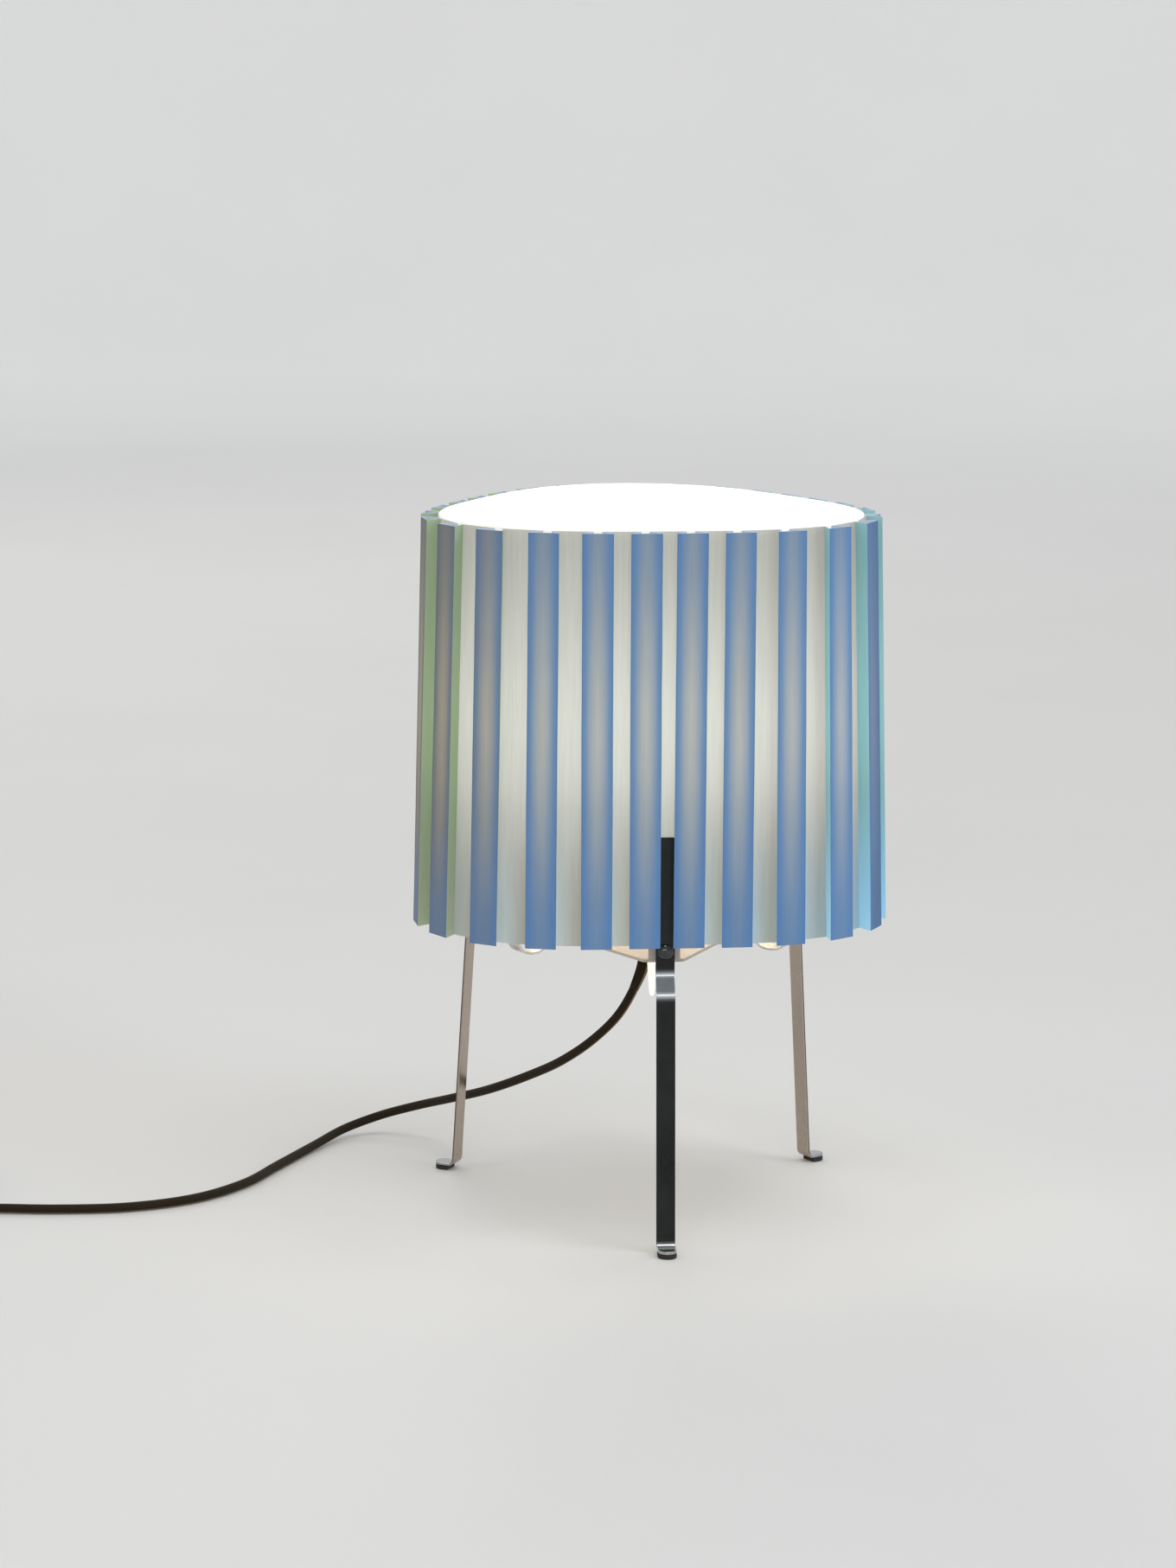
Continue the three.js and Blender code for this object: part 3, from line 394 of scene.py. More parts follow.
class PleatPlace:
    """Where a point of the cover lies: across its pleat, up the shade and round it."""

    def __init__(self, sheet):
        self.across = sheet.sum("FRACT", sheet.split(sheet.place.outputs["UV"])[0])
        place = sheet.split(sheet.vector("SUBTRACT", sheet.place.outputs["Object"], tuple(AXIS)))
        self.height = sheet.remap(place[2], *heights("shade_pleated_cover"), 0.0, 1.0)
        self.radius = sheet.vector("LENGTH", sheet.join(place[0], place[1], 0.0))
        self.sideways = sheet.sum("DIVIDE", place[0], self.radius)
        off_middle = sheet.sum("ABSOLUTE", sheet.minus(self.across, 0.5))
        self.on_face = sheet.sum("LESS_THAN", off_middle, HALF_FACE)
        self.off_face = sheet.minus(1.0, self.on_face)

    def on_faces(self, sheet, value, low, high, most):
        """A share that grows smoothly as the value goes from low to high, on the outward faces only."""
        return sheet.times(sheet.remap(value, low, high, 0.0, most, smooth=True), self.on_face)


def pleat_tint(sheet, colours, place, left_side_shade, turned_away_shade):
    """The sheet's colour, with painted light in it: blue faces greyer in the middle, pale recesses, teal left
    flanks and olive right flanks, painted shade on the faces at the lamp's left and far right, and painted
    daylight on its right.
    """
    edge, middle, recess = tuple(colours.face_edge), tuple(colours.face_middle), tuple(colours.recess)
    teal, olive = tuple(colours.left_flank), tuple(colours.right_flank)
    # The faces are greyer in the middle, painted light through the sheet, and darker right at the folds,
    # painted shade.
    half_face = [
        (FACE_START, shade_of(edge, 0.80)), (0.346, edge), (0.376, between(edge, middle, 0.12)),
        (0.417, between(edge, middle, 0.50)), (0.459, between(edge, middle, 0.92))]
    # The recess is darker towards its right side, painted shade of the next pleat, and a little lighter on
    # its left.
    tint = sheet.ramp(place.across, [
        (0.0, recess), (0.055, recess), (0.095, shade_of(recess, 0.92)), (RECESS_END, shade_of(recess, 0.88)),
        (TEAL_START, teal), (TEAL_END, shade_of(teal, 1.05)), *half_face, (0.5, shade_of(middle, 1.02)),
        *mirrored(half_face), (OLIVE_START, shade_of(olive, 1.05)), (OLIVE_END, olive),
        (RECESS_START, shade_of(recess, 1.04)), (0.94, shade_of(recess, 1.04))])
    # Painted daylight: the faces towards the lamp's right are bluer.
    daylight_right = place.on_faces(sheet, place.sideways, 0.45, 1.0, 0.55)
    low_face = place.on_faces(sheet, place.height, 0.34, 0.02, 0.4)
    tint = sheet.mix(left_side_shade, tint, colours.left_side_shade)
    tint = sheet.mix(daylight_right, tint, shade_of(edge, 1.2))
    tint = sheet.mix(low_face, tint, shade_of(edge, 1.1))
    return sheet.mix(turned_away_shade, tint, shade_of(edge, 0.62))


def light_through_faces(sheet, place, left_side_shade, turned_away_shade):
    """The bulb's light through the middle of the outward faces, brightest at the bulb's height."""
    half_light = [
        (0.333, BLACK), (FACE_START, (0.020, 0.030, 0.020)), (0.376, (0.072, 0.082, 0.045)),
        (0.417, (0.205, 0.170, 0.080)), (0.459, (0.29, 0.230, 0.100))]
    through = sheet.ramp(place.across, [*half_light, (0.5, (0.325, 0.257, 0.113)), *mirrored(half_light)])
    level = sheet.levels(
        place.height, (0.0, 0.02), (0.14, 0.12), (0.34, 0.62), (0.46, 0.93), (0.56, 1.0), (0.68, 0.82),
        (0.84, 0.42), (1.0, 0.14), interpolation="B_SPLINE")
    light = sheet.mix(1.0, through, level, "MULTIPLY")
    # Less light through the faces in the painted shade on the left.
    light = sheet.mix(sheet.times(left_side_shade, 0.45), light, BLACK)
    return sheet.mix(turned_away_shade, light, BLACK)


def light_between_pleats(sheet, place):
    """The light of recesses and flanks: warm right sides and cool left sides where it is low on the shade."""
    through_olive = (0.12, 0.14, 0.055)
    through = sheet.ramp(place.across, [
        (0.0, (0.60, 0.59, 0.545)), (0.055, (0.60, 0.585, 0.535)), (0.095, (0.56, 0.53, 0.485)),
        (RECESS_END, (0.54, 0.505, 0.46)), (TEAL_START, (0.10, 0.25, 0.29)), (0.332, (0.11, 0.28, 0.32)),
        (FACE_START, BLACK), (FACE_END, BLACK), (0.668, through_olive), (OLIVE_END, through_olive),
        (RECESS_START, (0.57, 0.585, 0.535)), (0.875, (0.61, 0.615, 0.565)), (0.94, (0.60, 0.60, 0.55))])
    level = sheet.levels(
        place.height, (0.0, 0.40), (0.14, 0.50), (0.34, 0.80), (0.46, 0.96), (0.56, 1.0), (0.68, 0.90),
        (0.84, 0.70), (1.0, 0.52), interpolation="B_SPLINE")
    light = sheet.mix(1.0, through, level, "MULTIPLY")
    low = sheet.times(sheet.remap(place.height, 0.40, 0.0, 0.0, 1.0, smooth=True), place.off_face)
    left_to_right = sheet.remap(place.sideways, -1.0, 1.0, 0.0, 1.0)
    cool = sheet.ramp(left_to_right, [
        (0.0, (0.11, 0.13, 0.09)), (0.17, (0.35, 0.44, 0.47)), (0.50, (0.31, 0.41, 0.45)),
        (0.74, (0.24, 0.42, 0.58)), (1.0, (0.15, 0.34, 0.56))])
    warm = sheet.ramp(left_to_right, [
        (0.0, (0.12, 0.11, 0.07)), (0.17, (0.17, 0.145, 0.12)), (0.42, (0.25, 0.24, 0.20)),
        (0.78, (0.20, 0.22, 0.19)), (1.0, (0.17, 0.37, 0.55))])
    warmth = sheet.levels(
        place.across, (0.0, 0.66), (0.05, 0.90), (0.08, 1.0), (RECESS_END, 1.0), (TEAL_START, 0.0),
        (FACE_END, 0.0), (OLIVE_START, 1.0), (OLIVE_END, 1.0), (RECESS_START, 0.0), (0.90, 0.10), (1.0, 0.66))
    return sheet.mix(low, light, sheet.mix(warmth, cool, warm))


def pleat_sheet(colours):
    """The folded cover: blue faces with a translucent middle, pale recesses, and the bulb's light behind."""
    sheet = FinishSheet("pleat_sheet")
    place = PleatPlace(sheet)
    grain = sheet.noise(2600, 3, 0.5, (1, 1, 0.02))
    fibre = sheet.noise(700, 5, 0.65, (1, 1, 0.045), 0.3)
    streaks = sheet.levels(fibre, (0.25, 0.88), (0.75, 1.0))
    patches = sheet.ramp(sheet.noise(26, 3, 0.5), [(0.3, (0.94, 0.95, 0.96)), (0.7, WHITE)])
    # Painted shade on the outward faces towards the lamp's left.
    left_side_shade = place.on_faces(sheet, place.sideways, -0.52, -1.0, 0.86)
    # Painted shade on the faces turned furthest to the lamp's right: darker blue, with no light through them.
    turned_away_shade = place.on_faces(sheet, place.sideways, 0.81, 0.87, 0.72)
    tint = pleat_tint(sheet, colours, place, left_side_shade, turned_away_shade)
    light = sheet.mix(
        1.0, light_through_faces(sheet, place, left_side_shade, turned_away_shade), light_between_pleats(sheet, place), "ADD")
    nearness = sheet.remap(place.radius, NEAR_RADIUS, FAR_RADIUS, 1.06, 0.84)
    light = sheet.mix(1.0, light, sheet.join(nearness, nearness, nearness), "MULTIPLY")

    facing = sheet.add("ShaderNodeNewGeometry").outputs["True Normal"]
    end_edge = sheet.sum("GREATER_THAN", sheet.sum("ABSOLUTE", sheet.split(facing)[2]), 0.6)
    hidden = sheet.sum("MAXIMUM", end_edge, sheet.sum("GREATER_THAN", sheet.mark("inside"), 0.5))
    tint = sheet.mix(hidden, tint, colours.rim)
    light = sheet.mix(hidden, light, (0.10, 0.12, 0.15))
    tint = sheet.mix(1.0, sheet.mix(1.0, tint, streaks, "MULTIPLY"), patches, "MULTIPLY")
    light = sheet.mix(1.0, light, streaks, "MULTIPLY")
    sheet.set(Base_Color=tint, Emission_Color=light, Emission_Strength=1.0, Roughness=0.62)
    sheet.bump(grain, 0.10, 0.00004)
    return sheet.material


def liner_sheet(colours):
    """The smooth liner: white, lit from inside by the bulb, brightest at the bulb's height."""
    sheet = FinishSheet("liner_sheet")
    cloud = sheet.noise(30, 4, 0.5)
    grain = sheet.noise(1900, 3, 0.5, (1, 1, 0.3))
    sheet.set(Base_Color=sheet.shades(cloud, colours.liner, (0.3, 0.97), (0.7, 1.03)))
    height = sheet.split(sheet.place.outputs["Object"])[2]
    away = sheet.sum("ABSOLUTE", sheet.minus(height, GLOW_HEIGHT))
    glow = sheet.remap(away, 0.0, 0.12, 1.0, 0.45, smooth=True)
    level = sheet.ramp(glow, [(0.0, BLACK), (1.0, tuple(colours.glow))])
    sheet.set(Emission_Color=level, Emission_Strength=0.75, Roughness=0.7)
    sheet.bump(grain, 0.12, 0.00004)
    return sheet.material


def opal_glass(colours):
    """The lit bulb: opal glass, hottest round its waist, cooler at its neck."""
    sheet = FinishSheet("opal_glass")
    height = sheet.split(sheet.place.outputs["Object"])[2]
    neck, waist = 0.222, 0.262
    heat = sheet.remap(height, neck, waist, 0.35, 1.0, smooth=True)
    cloud = sheet.noise(40, 2, 0.5)
    warm = sheet.shades(cloud, colours.glow, (0.3, 0.96), (0.7, 1.0))
    level = sheet.levels(heat, (0.0, 0.0), (1.0, 1.0))
    milky = sheet.ramp(cloud, [(0.3, (0.86, 0.84, 0.80)), (0.7, (0.9, 0.88, 0.85))])
    sheet.set(Base_Color=milky, Roughness=0.22)
    sheet.set(Emission_Color=sheet.mix(1.0, warm, level, "MULTIPLY"), Emission_Strength=5.0)
    return sheet.material


def braided_textile(name, pitch, ground, fleck):
    """Braid on the piece's own UV: strands cross on two diagonals, with rows of light flecks."""
    sheet = FinishSheet(name)
    along, around, _ = sheet.split(sheet.place.outputs["UV"])
    turns = sheet.sum("DIVIDE", along, pitch)
    strands = 12.0
    right = sheet.sum("FRACT", sheet.times(sheet.plus(turns, around), strands))
    left = sheet.sum("FRACT", sheet.times(sheet.minus(turns, around), strands))
    ridge_right = sheet.sum("SINE", sheet.times(right, math.pi))
    ridge_left = sheet.sum("SINE", sheet.times(left, math.pi))
    over = sheet.sum("GREATER_THAN", sheet.sum("FRACT", sheet.times(turns, strands)), 0.5)
    under = sheet.minus(1.0, over)
    weave = sheet.plus(
        sheet.times(ridge_right, over), sheet.times(ridge_left, under))
    rows = sheet.sum("PINGPONG", sheet.times(around, 4.0), 1.0)
    row = sheet.remap(rows, 0.80, 0.90, 0.0, 1.0, smooth=True)
    dash = sheet.times(row, sheet.sum("GREATER_THAN", right, 0.42))
    fuzz = sheet.noise(1500, 4, 0.6)
    body = sheet.shades(fuzz, ground, (0.3, 0.6), (0.7, 1.7))
    # Painted shade in the grooves between the strands.
    strand = sheet.mix(weave, shade_of(ground, 0.35), body)
    sheet.set(Base_Color=sheet.mix(dash, strand, fleck), Roughness=sheet.remap(fuzz, 0.3, 0.7, 0.72, 0.9))
    sheet.set(Sheen_Weight=0.05, Sheen_Roughness=0.4, Specular_IOR_Level=0.16)
    sheet.bump(sheet.plus(weave, sheet.times(fuzz, 0.35)), 0.7, 0.00022)
    return sheet.material


def pale_floor(colours):
    """Pale floor that curves up into a wall, which glows a little so that it is even all round."""
    sheet = FinishSheet("pale_floor")
    cloud = sheet.noise(3, 4, 0.5)
    tint = sheet.shades(cloud, colours.floor, (0.3, 0.985), (0.7, 1.01))
    x, y, _ = sheet.split(sheet.place.outputs["Object"])
    wash = sheet.remap(sheet.vector("LENGTH", sheet.join(x, y, 0.0)), 0.9, 4.6, 0.0, 1.0)
    level = sheet.levels(wash, (0.0, 0.0), (0.35, 0.07), (1.0, 0.25))
    sheet.set(Base_Color=tint, Roughness=0.62, Specular_IOR_Level=0.3)
    sheet.set(Emission_Color=level, Emission_Strength=1.0)
    sheet.bump(sheet.noise(900, 3, 0.5), 0.04, 0.0001)
    return sheet.material


FINISHES = {}


def finish(name):
    """The named finish, drawn the first time that it is asked for."""
    if name not in FINISHES:
        colours = bpy.context.scene.lamp_colours
        makers = {
            "dark_steel": satin_steel,
            "dark_screw": polished_dark_steel,
            "zinc_steel": zinc_plate,
            "brass": brass_metal,
            "plate_finish": cream_paint,
            "rubber": soft_rubber,
            "pleat_sheet": pleat_sheet,
            "liner_sheet": liner_sheet,
            "loose_fibre": lambda c: moulded_plastic("loose_fibre", shade_of(c.plate, 1.1), 0.8),
            "opal_glass": opal_glass,
            "pale_floor": pale_floor,
            "white_plastic": lambda c: moulded_plastic("white_plastic", tuple(c.white), 0.34),
            "drop_plastic": lambda c: moulded_plastic("drop_plastic", tuple(c.white), 0.3, DROP_GLOW),
            "black_plastic": lambda c: moulded_plastic("black_plastic", tuple(c.black), 0.46),
            "braid": lambda c: braided_textile(
                "braid", bpy.context.scene.lamp_cord_sizes.braid_pitch, c.braid_dark, c.braid_light),
            "white_cord": lambda c: braided_textile("white_cord", COTTON_PITCH, COTTON, COTTON_FLECK),
        }
        FINISHES[name] = makers[name](colours)
    return FINISHES[name]


# Making meshes.


def linked(obj):
    """Puts a new object into the scene."""
    bpy.context.scene.collection.objects.link(obj)
    return obj


def mesh_object(name, vertices, faces, material):
    mesh = bpy.data.meshes.new(name)
    mesh.from_pydata([tuple(v) for v in vertices], [], faces)
    mesh.validate()
    mesh.materials.append(finish(material))
    return linked(bpy.data.objects.new(name, mesh))


def applied(obj):
    """Bakes the object's modifiers into a plain mesh."""
    graph = bpy.context.evaluated_depsgraph_get()
    mesh = bpy.data.meshes.new_from_object(
        obj.evaluated_get(graph), preserve_all_data_layers=True, depsgraph=graph)
    mesh.name = obj.name
    obj.modifiers.clear()
    old = obj.data
    obj.data = mesh
    bpy.data.meshes.remove(old)
    return obj


def smooth_faces(obj):
    obj.data.polygons.foreach_set("use_smooth", [True] * len(obj.data.polygons))
    return obj


def smoothed(obj, bevel=0.0, segments=2, angle=30):
    """Smooth shading, with a fine bevel on the sharp edges and normals weighted by face."""
    smooth_faces(obj)
    if bevel:
        round_off = obj.modifiers.new("Bevel", "BEVEL")
        round_off.width = bevel
        round_off.segments = segments
        round_off.limit_method = "ANGLE"
        round_off.angle_limit = math.radians(angle)
    weigh = obj.modifiers.new("Normals", "WEIGHTED_NORMAL")
    weigh.keep_sharp = True
    return applied(obj)


def faced_outwards(obj):
    """Closes the mesh's seams and turns its faces outwards."""
    work = bmesh.new()
    work.from_mesh(obj.data)
    bmesh.ops.remove_doubles(work, verts=work.verts, dist=1e-7)
    bmesh.ops.recalc_face_normals(work, faces=work.faces)
    work.to_mesh(obj.data)
    work.free()
    return obj


def turned(name, profile, material, centre=AXIS, steps=72, closed=True, ripple=None):
    """A turned piece from a profile of (radius, height). ripple(angle, radius, height) gives the radius."""
    vertices, faces, rings = [], [], []
    for radius, height in profile:
        if radius < 1e-7:
            rings.append([len(vertices)])
            vertices.append(centre + Vector((0, 0, height)))
            continue
        ring = []
        for k in range(steps):
            angle = 2 * math.pi * k / steps
            reach = ripple(angle, radius, height) if ripple else radius
            ring.append(len(vertices))
            vertices.append(centre + Vector((reach * math.cos(angle), reach * math.sin(angle), height)))
        rings.append(ring)
    pairs = list(zip(rings, rings[1:]))
    if closed and len(rings[0]) > 1 and len(rings[-1]) > 1:
        pairs.append((rings[-1], rings[0]))
    for low, high in pairs:
        if len(low) == 1 and len(high) == 1:
            continue
        for k in range(steps):
            n = (k + 1) % steps
            if len(low) == 1:
                faces.append((low[0], high[n], high[k]))
            elif len(high) == 1:
                faces.append((low[k], low[n], high[0]))
            else:
                faces.append((low[k], low[n], high[n], high[k]))
    return faced_outwards(mesh_object(name, vertices, faces, material))


def ring_faces(rings, count):
    """Quads between neighbouring rings, each with the same number of points."""
    faces = []
    for first in range(0, (rings - 1) * count, count):
        for k in range(count):
            n = (k + 1) % count
            faces.append((first + k, first + n, first + count + n, first + count + k))
    return faces


def distances_along(points):
    """How far along a line each of its points lies."""
    reached = [0.0]
    for p, q in zip(points, points[1:]):
        reached.append(reached[-1] + (q - p).length)
    return reached


def groove(depth, phase):
    """How deep a wave of grooves cuts at a phase: its whole depth at 0, nothing at half a turn."""
    return depth * (0.5 + 0.5 * math.cos(phase))


def dome(radius, base, rise, steps):
    """Profile points of a dome, from its rim up to its top."""
    angles = [math.pi / 2 * k / steps for k in range(steps + 1)]
    return [(radius * math.cos(angle), base + rise * math.sin(angle)) for angle in angles]


def faces_in(obj):
    """Whether most faces of an upright wall look towards the lamp's axis."""
    inwards = sum((face.center - AXIS).xy.dot(face.normal.xy) < 0 for face in obj.data.polygons)
    return inwards > len(obj.data.polygons) / 2


def rounded_profile(corners, steps=5):
    """(radius, height, rounding) corners of a closed profile, with each rounding drawn as an arc."""
    count = len(corners)
    points = []
    for i, (radius, height, rounding) in enumerate(corners):
        here = Vector((radius, height))
        if rounding <= 0:
            points.append((radius, height))
            continue
        before = Vector(corners[i - 1][:2])
        after = Vector(corners[(i + 1) % count][:2])
        points += [(p.x, p.y) for p, _ in arc_through(before, here, after, rounding, steps)]
    return points


def arc_through(before, corner, after, radius, steps):
    """Points of the arc that rounds a corner, each with its direction of travel."""
    into = (corner - before).normalized()
    out = (after - corner).normalized()
    turn = math.atan2(into.x * out.y - into.y * out.x, into.dot(out))
    if abs(turn) < 1e-6:
        return [(corner, into)]
    side = math.copysign(1.0, turn)
    left = Vector((-into.y, into.x))
    start = corner - into * (radius * math.tan(abs(turn) / 2))
    centre = start + left * (side * radius)
    found = []
    for k in range(steps + 1):
        spin = Matrix.Rotation(turn * k / steps, 2)
        found.append((centre - (spin @ left) * (side * radius), spin @ into))
    return found


def bent_line(corners, steps=14, step=0.004):
    """Samples of a bent strip's middle line as (point, travel); corners are (out, up, bend radius)."""
    points = [Vector(corner[:2]) for corner in corners]
    rough = [(points[0], (points[1] - points[0]).normalized())]
    for i in range(1, len(points) - 1):
        rough += arc_through(points[i - 1], points[i], points[i + 1], corners[i][2], steps)
    rough.append((points[-1], (points[-1] - points[-2]).normalized()))
    line = [rough[0]]
    for (p, t), (q, u) in zip(rough, rough[1:]):
        gap = (q - p).length
        extra = int(gap / step) if gap > 2 * step else 0
        for k in range(extra):
            share = (k + 1) / (extra + 1)
            line.append((p.lerp(q, share), t.lerp(u, share).normalized()))
        if gap > 1e-7:
            line.append((q, u))
    return line


def close_to_ends(line, distances):
    """Adds samples at the given distances from both ends of a line, for the rounding of the ends."""
    def sampled(samples):
        start, travel = samples[0]
        rest = [s for s in samples[1:] if (s[0] - start).length > max(distances) + 1e-5]
        return [samples[0]] + [(start + travel * d, travel) for d in distances] + rest
    line = sampled(line)
    back = [(p, -t) for p, t in reversed(line)]
    return [(p, -t) for p, t in reversed(sampled(back))]


def end_cut(distance, radius):
    """How much narrower a rounded end is at a distance from its tip."""
    if distance >= radius:
        return 0.0
    return radius - math.sqrt(max(0.0, radius ** 2 - (radius - distance) ** 2))


def strip_mesh(name, line, sizes, round_start, round_end, material, bend_highlight=None):
    """A strip along +X with rounded edges and ends. Its left side in travel becomes the outer face."""
    radii = [radius for radius in (sizes.edge, round_start, round_end) if radius > 0]
    near = sorted({radius * share for radius in radii for share in (0.02, 0.08, 0.18, 0.32, 0.5, 0.72, 1.0)})
    line = close_to_ends(line, near)
    lengths = distances_along([point for point, _ in line])
    vertices, inner, wear_and_highlight = [], [], []
    least, edge_share, turn_steps = 0.0002, 0.9, 3
    for (point, travel), reached in zip(line, lengths):
        left_over = lengths[-1] - reached
        half = sizes.width / 2 - end_cut(reached, round_start) - end_cut(left_over, round_end)
        thick = sizes.thickness / 2 - end_cut(min(reached, left_over), sizes.edge)
        half, thick = max(half, least), max(thick, least)
        edge = min(sizes.edge, half * edge_share, thick * edge_share)
        across = Vector((-travel.y, travel.x))
        for quadrant in range(4):
            side = 1 if quadrant in (0, 3) else -1
            rise = 1 if quadrant in (0, 1) else -1
            for k in range(turn_steps + 1):
                angle = math.pi / 2 * (quadrant + k / turn_steps)
                y = side * (half - edge) + edge * math.cos(angle)
                s = rise * (thick - edge) + edge * math.sin(angle)
                place = point + across * s
                vertices.append((place.x, y, place.y))
                # The inner face is marked for its painted reflection.
                inner.append(1.0 if s < 0 else 0.0)
                # Painted highlight on the outer face near the bends.
                wear_and_highlight.append(bend_highlight(point) if bend_highlight and s > 0 else 0.0)
    ring = 4 * (turn_steps + 1)
    last = (len(line) - 1) * ring
    faces = ring_faces(len(line), ring)
    faces += [tuple(range(ring)), tuple(reversed(range(last, last + ring)))]
    obj = mesh_object(name, vertices, faces, material)
    for key, values in (("inner_face", inner), ("burnished", wear_and_highlight)):
        obj.data.attributes.new(key, "FLOAT", "POINT").data.foreach_set("value", values)
    faced_outwards(obj)
    return smoothed(obj)


def tube_along(name, points, radius_at, sides, material):
    """A tube along a line, with a UV map: metres along the line, turns round it."""
    lengths = distances_along(points)
    side = (points[1] - points[0]).normalized().orthogonal().normalized()
    vertices, uv = [], []
    for i, point in enumerate(points):
        ahead = (points[min(i + 1, len(points) - 1)] - points[max(i - 1, 0)]).normalized()
        side = (side - ahead * side.dot(ahead)).normalized()
        top = ahead.cross(side)
        for k in range(sides):
            angle = 2 * math.pi * k / sides
            reach = radius_at(lengths[i])
            vertices.append(point + side * (reach * math.cos(angle)) + top * (reach * math.sin(angle)))
    for here, after in zip(lengths, lengths[1:]):
        for k in range(sides):
            turn, next_turn = k / sides, (k + 1) / sides
            uv += [(here, turn), (here, next_turn), (after, next_turn), (after, turn)]
    last = (len(points) - 1) * sides
    faces = ring_faces(len(points), sides)
    faces += [tuple(reversed(range(sides))), tuple(range(last, last + sides))]
    uv += [(0.0, 0.0)] * (2 * sides)
    obj = mesh_object(name, vertices, faces, material)
    layer = obj.data.uv_layers.new(name="UVMap")
    for corner, (u, v) in zip(layer.data, uv):
        corner.uv = (u, v)
    return smooth_faces(obj)


def refined(node, name, material, bevel, segments, angle=35):
    """A bevelled, smooth copy of a CAD node of the base, which it stands for."""
    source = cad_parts[node]
    mesh = source.data.copy()
    mesh.transform(source.matrix_world)
    mesh.name = name
    obj = linked(bpy.data.objects.new(name, mesh))
    mesh.materials.clear()
    mesh.materials.append(finish(material))
    work = bmesh.new()
    work.from_mesh(mesh)
    bmesh.ops.remove_doubles(work, verts=work.verts, dist=2e-6)
    bmesh.ops.dissolve_limit(work, angle_limit=math.radians(1.5), verts=work.verts, edges=work.edges)
    work.to_mesh(mesh)
    work.free()
    return settle(smoothed(obj, bevel, segments, angle), "base", material, node)


def turned_piece(node, way, profile, material, body="base", slot=None, **how):
    """A smooth turned piece that stands for its CAD node. Its slot is not used."""
    return settle(smoothed(turned(f"{node}_{way}", profile, material, **how)), body, slot or material, node)


def joined(name, pieces):
    """Several plain meshes made one object."""
    work = bmesh.new()
    for piece in pieces:
        work.from_mesh(piece.data)
    mesh = bpy.data.meshes.new(name)
    work.to_mesh(mesh)
    work.free()
    for material in pieces[0].data.materials:
        mesh.materials.append(material)
    obj = linked(bpy.data.objects.new(name, mesh))
    for piece in pieces:
        bpy.data.objects.remove(piece)
    return obj


def settle(obj, body, slot, *nodes):
    """Lets a finished piece ride on its body and stand for its CAD nodes. Its slot is not used."""
    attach(obj, body)
    if nodes:
        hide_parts(*nodes)
    return obj


# Trees that make what repeats or follows the shade's rule.


SEAM = 0.00002
FOLD_COLUMNS = 6.0


class ShapeSheet(NodeSheet):
    """A Geometry Nodes tree that is being drawn, with named inputs."""

    def __init__(self, name):
        super().__init__(bpy.data.node_groups.new(name, "GeometryNodeTree"))
        self.start = self.add("NodeGroupInput")
        self.end = self.add("NodeGroupOutput")

    def input(self, name, kind, default=None):
        socket = self.tree.interface.new_socket(name=name, in_out="INPUT", socket_type="NodeSocket" + kind)
        if default is not None:
            socket.default_value = default
        return self.start.outputs[name]

    def numbers(self, **defaults):
        """Several number inputs at once, with their values if none is given."""
        return [self.input(key.replace("_", " "), "Float", value) for key, value in defaults.items()]

    def output(self, name, kind, value):
        self.tree.interface.new_socket(name=name, in_out="OUTPUT", socket_type="NodeSocket" + kind)
        self.feed(self.end.inputs[name], value)

    def blend(self, low, high, share):
        """The number that lies this share of the way from one to the other."""
        return self.plus(low, self.times(self.minus(high, low), share))

    def pick(self, index, values):
        """One of several numbers, chosen by a whole number."""
        node = self.add("GeometryNodeIndexSwitch", {"Index": index}, data_type="FLOAT")
        while len(node.index_switch_items) < len(values):
            node.index_switch_items.new()
        for socket, value in zip([s for s in node.inputs if s.name != "Index"], values):
            self.feed(socket, value)
        return node.outputs[0]

    def unit_grid(self, columns, rows):
        """A grid of side 1, and how far each of its points lies along either side."""
        grid = self.add("GeometryNodeMeshGrid", {
            "Size X": 1.0, "Size Y": 1.0, "Vertices X": self.plus(columns, 1.0), "Vertices Y": rows})
        here = self.split(self.add("GeometryNodeInputPosition").outputs[0])
        return grid, self.plus(here[0], 0.5), self.plus(here[1], 0.5)

    def wrapped(self, geometry, x, y, height, centre):
        """The grid laid round the lamp's axis, with its two ends joined."""
        place = self.vector("ADD", self.join(x, y, height), centre)
        shaped = self.add("GeometryNodeSetPosition", {"Geometry": geometry, "Position": place})
        closed = self.add("GeometryNodeMergeByDistance", {"Geometry": shaped.outputs[0], "Distance": SEAM})
        return closed.outputs[0]

    def closing(self, geometry, material):
        """Every tree ends in real geometry with its material set."""
        real = self.add("GeometryNodeRealizeInstances", {"Geometry": geometry})
        paint = self.add("GeometryNodeSetMaterial", {"Geometry": real.outputs[0], "Material": material})
        self.output("Geometry", "Geometry", paint.outputs[0])


def grown(tree, name, **values):
    """The plain mesh that a tree makes with these inputs."""
    obj = linked(bpy.data.objects.new(name, bpy.data.meshes.new(name)))
    modifier = obj.modifiers.new(tree.name, "NODES")
    modifier.node_group = tree
    wanted = {key.replace("_", " "): value for key, value in values.items()}
    for socket in tree.interface.items_tree:
        if socket.item_type == "SOCKET" and socket.in_out == "INPUT" and socket.name in wanted:
            modifier[socket.identifier] = wanted.pop(socket.name)
    if wanted:
        raise RuntimeError(f"{tree.name} has no input {sorted(wanted)}")
    applied(obj)
    if not obj.data.polygons:
        raise RuntimeError(f"{tree.name} made nothing for {name}")
    return obj


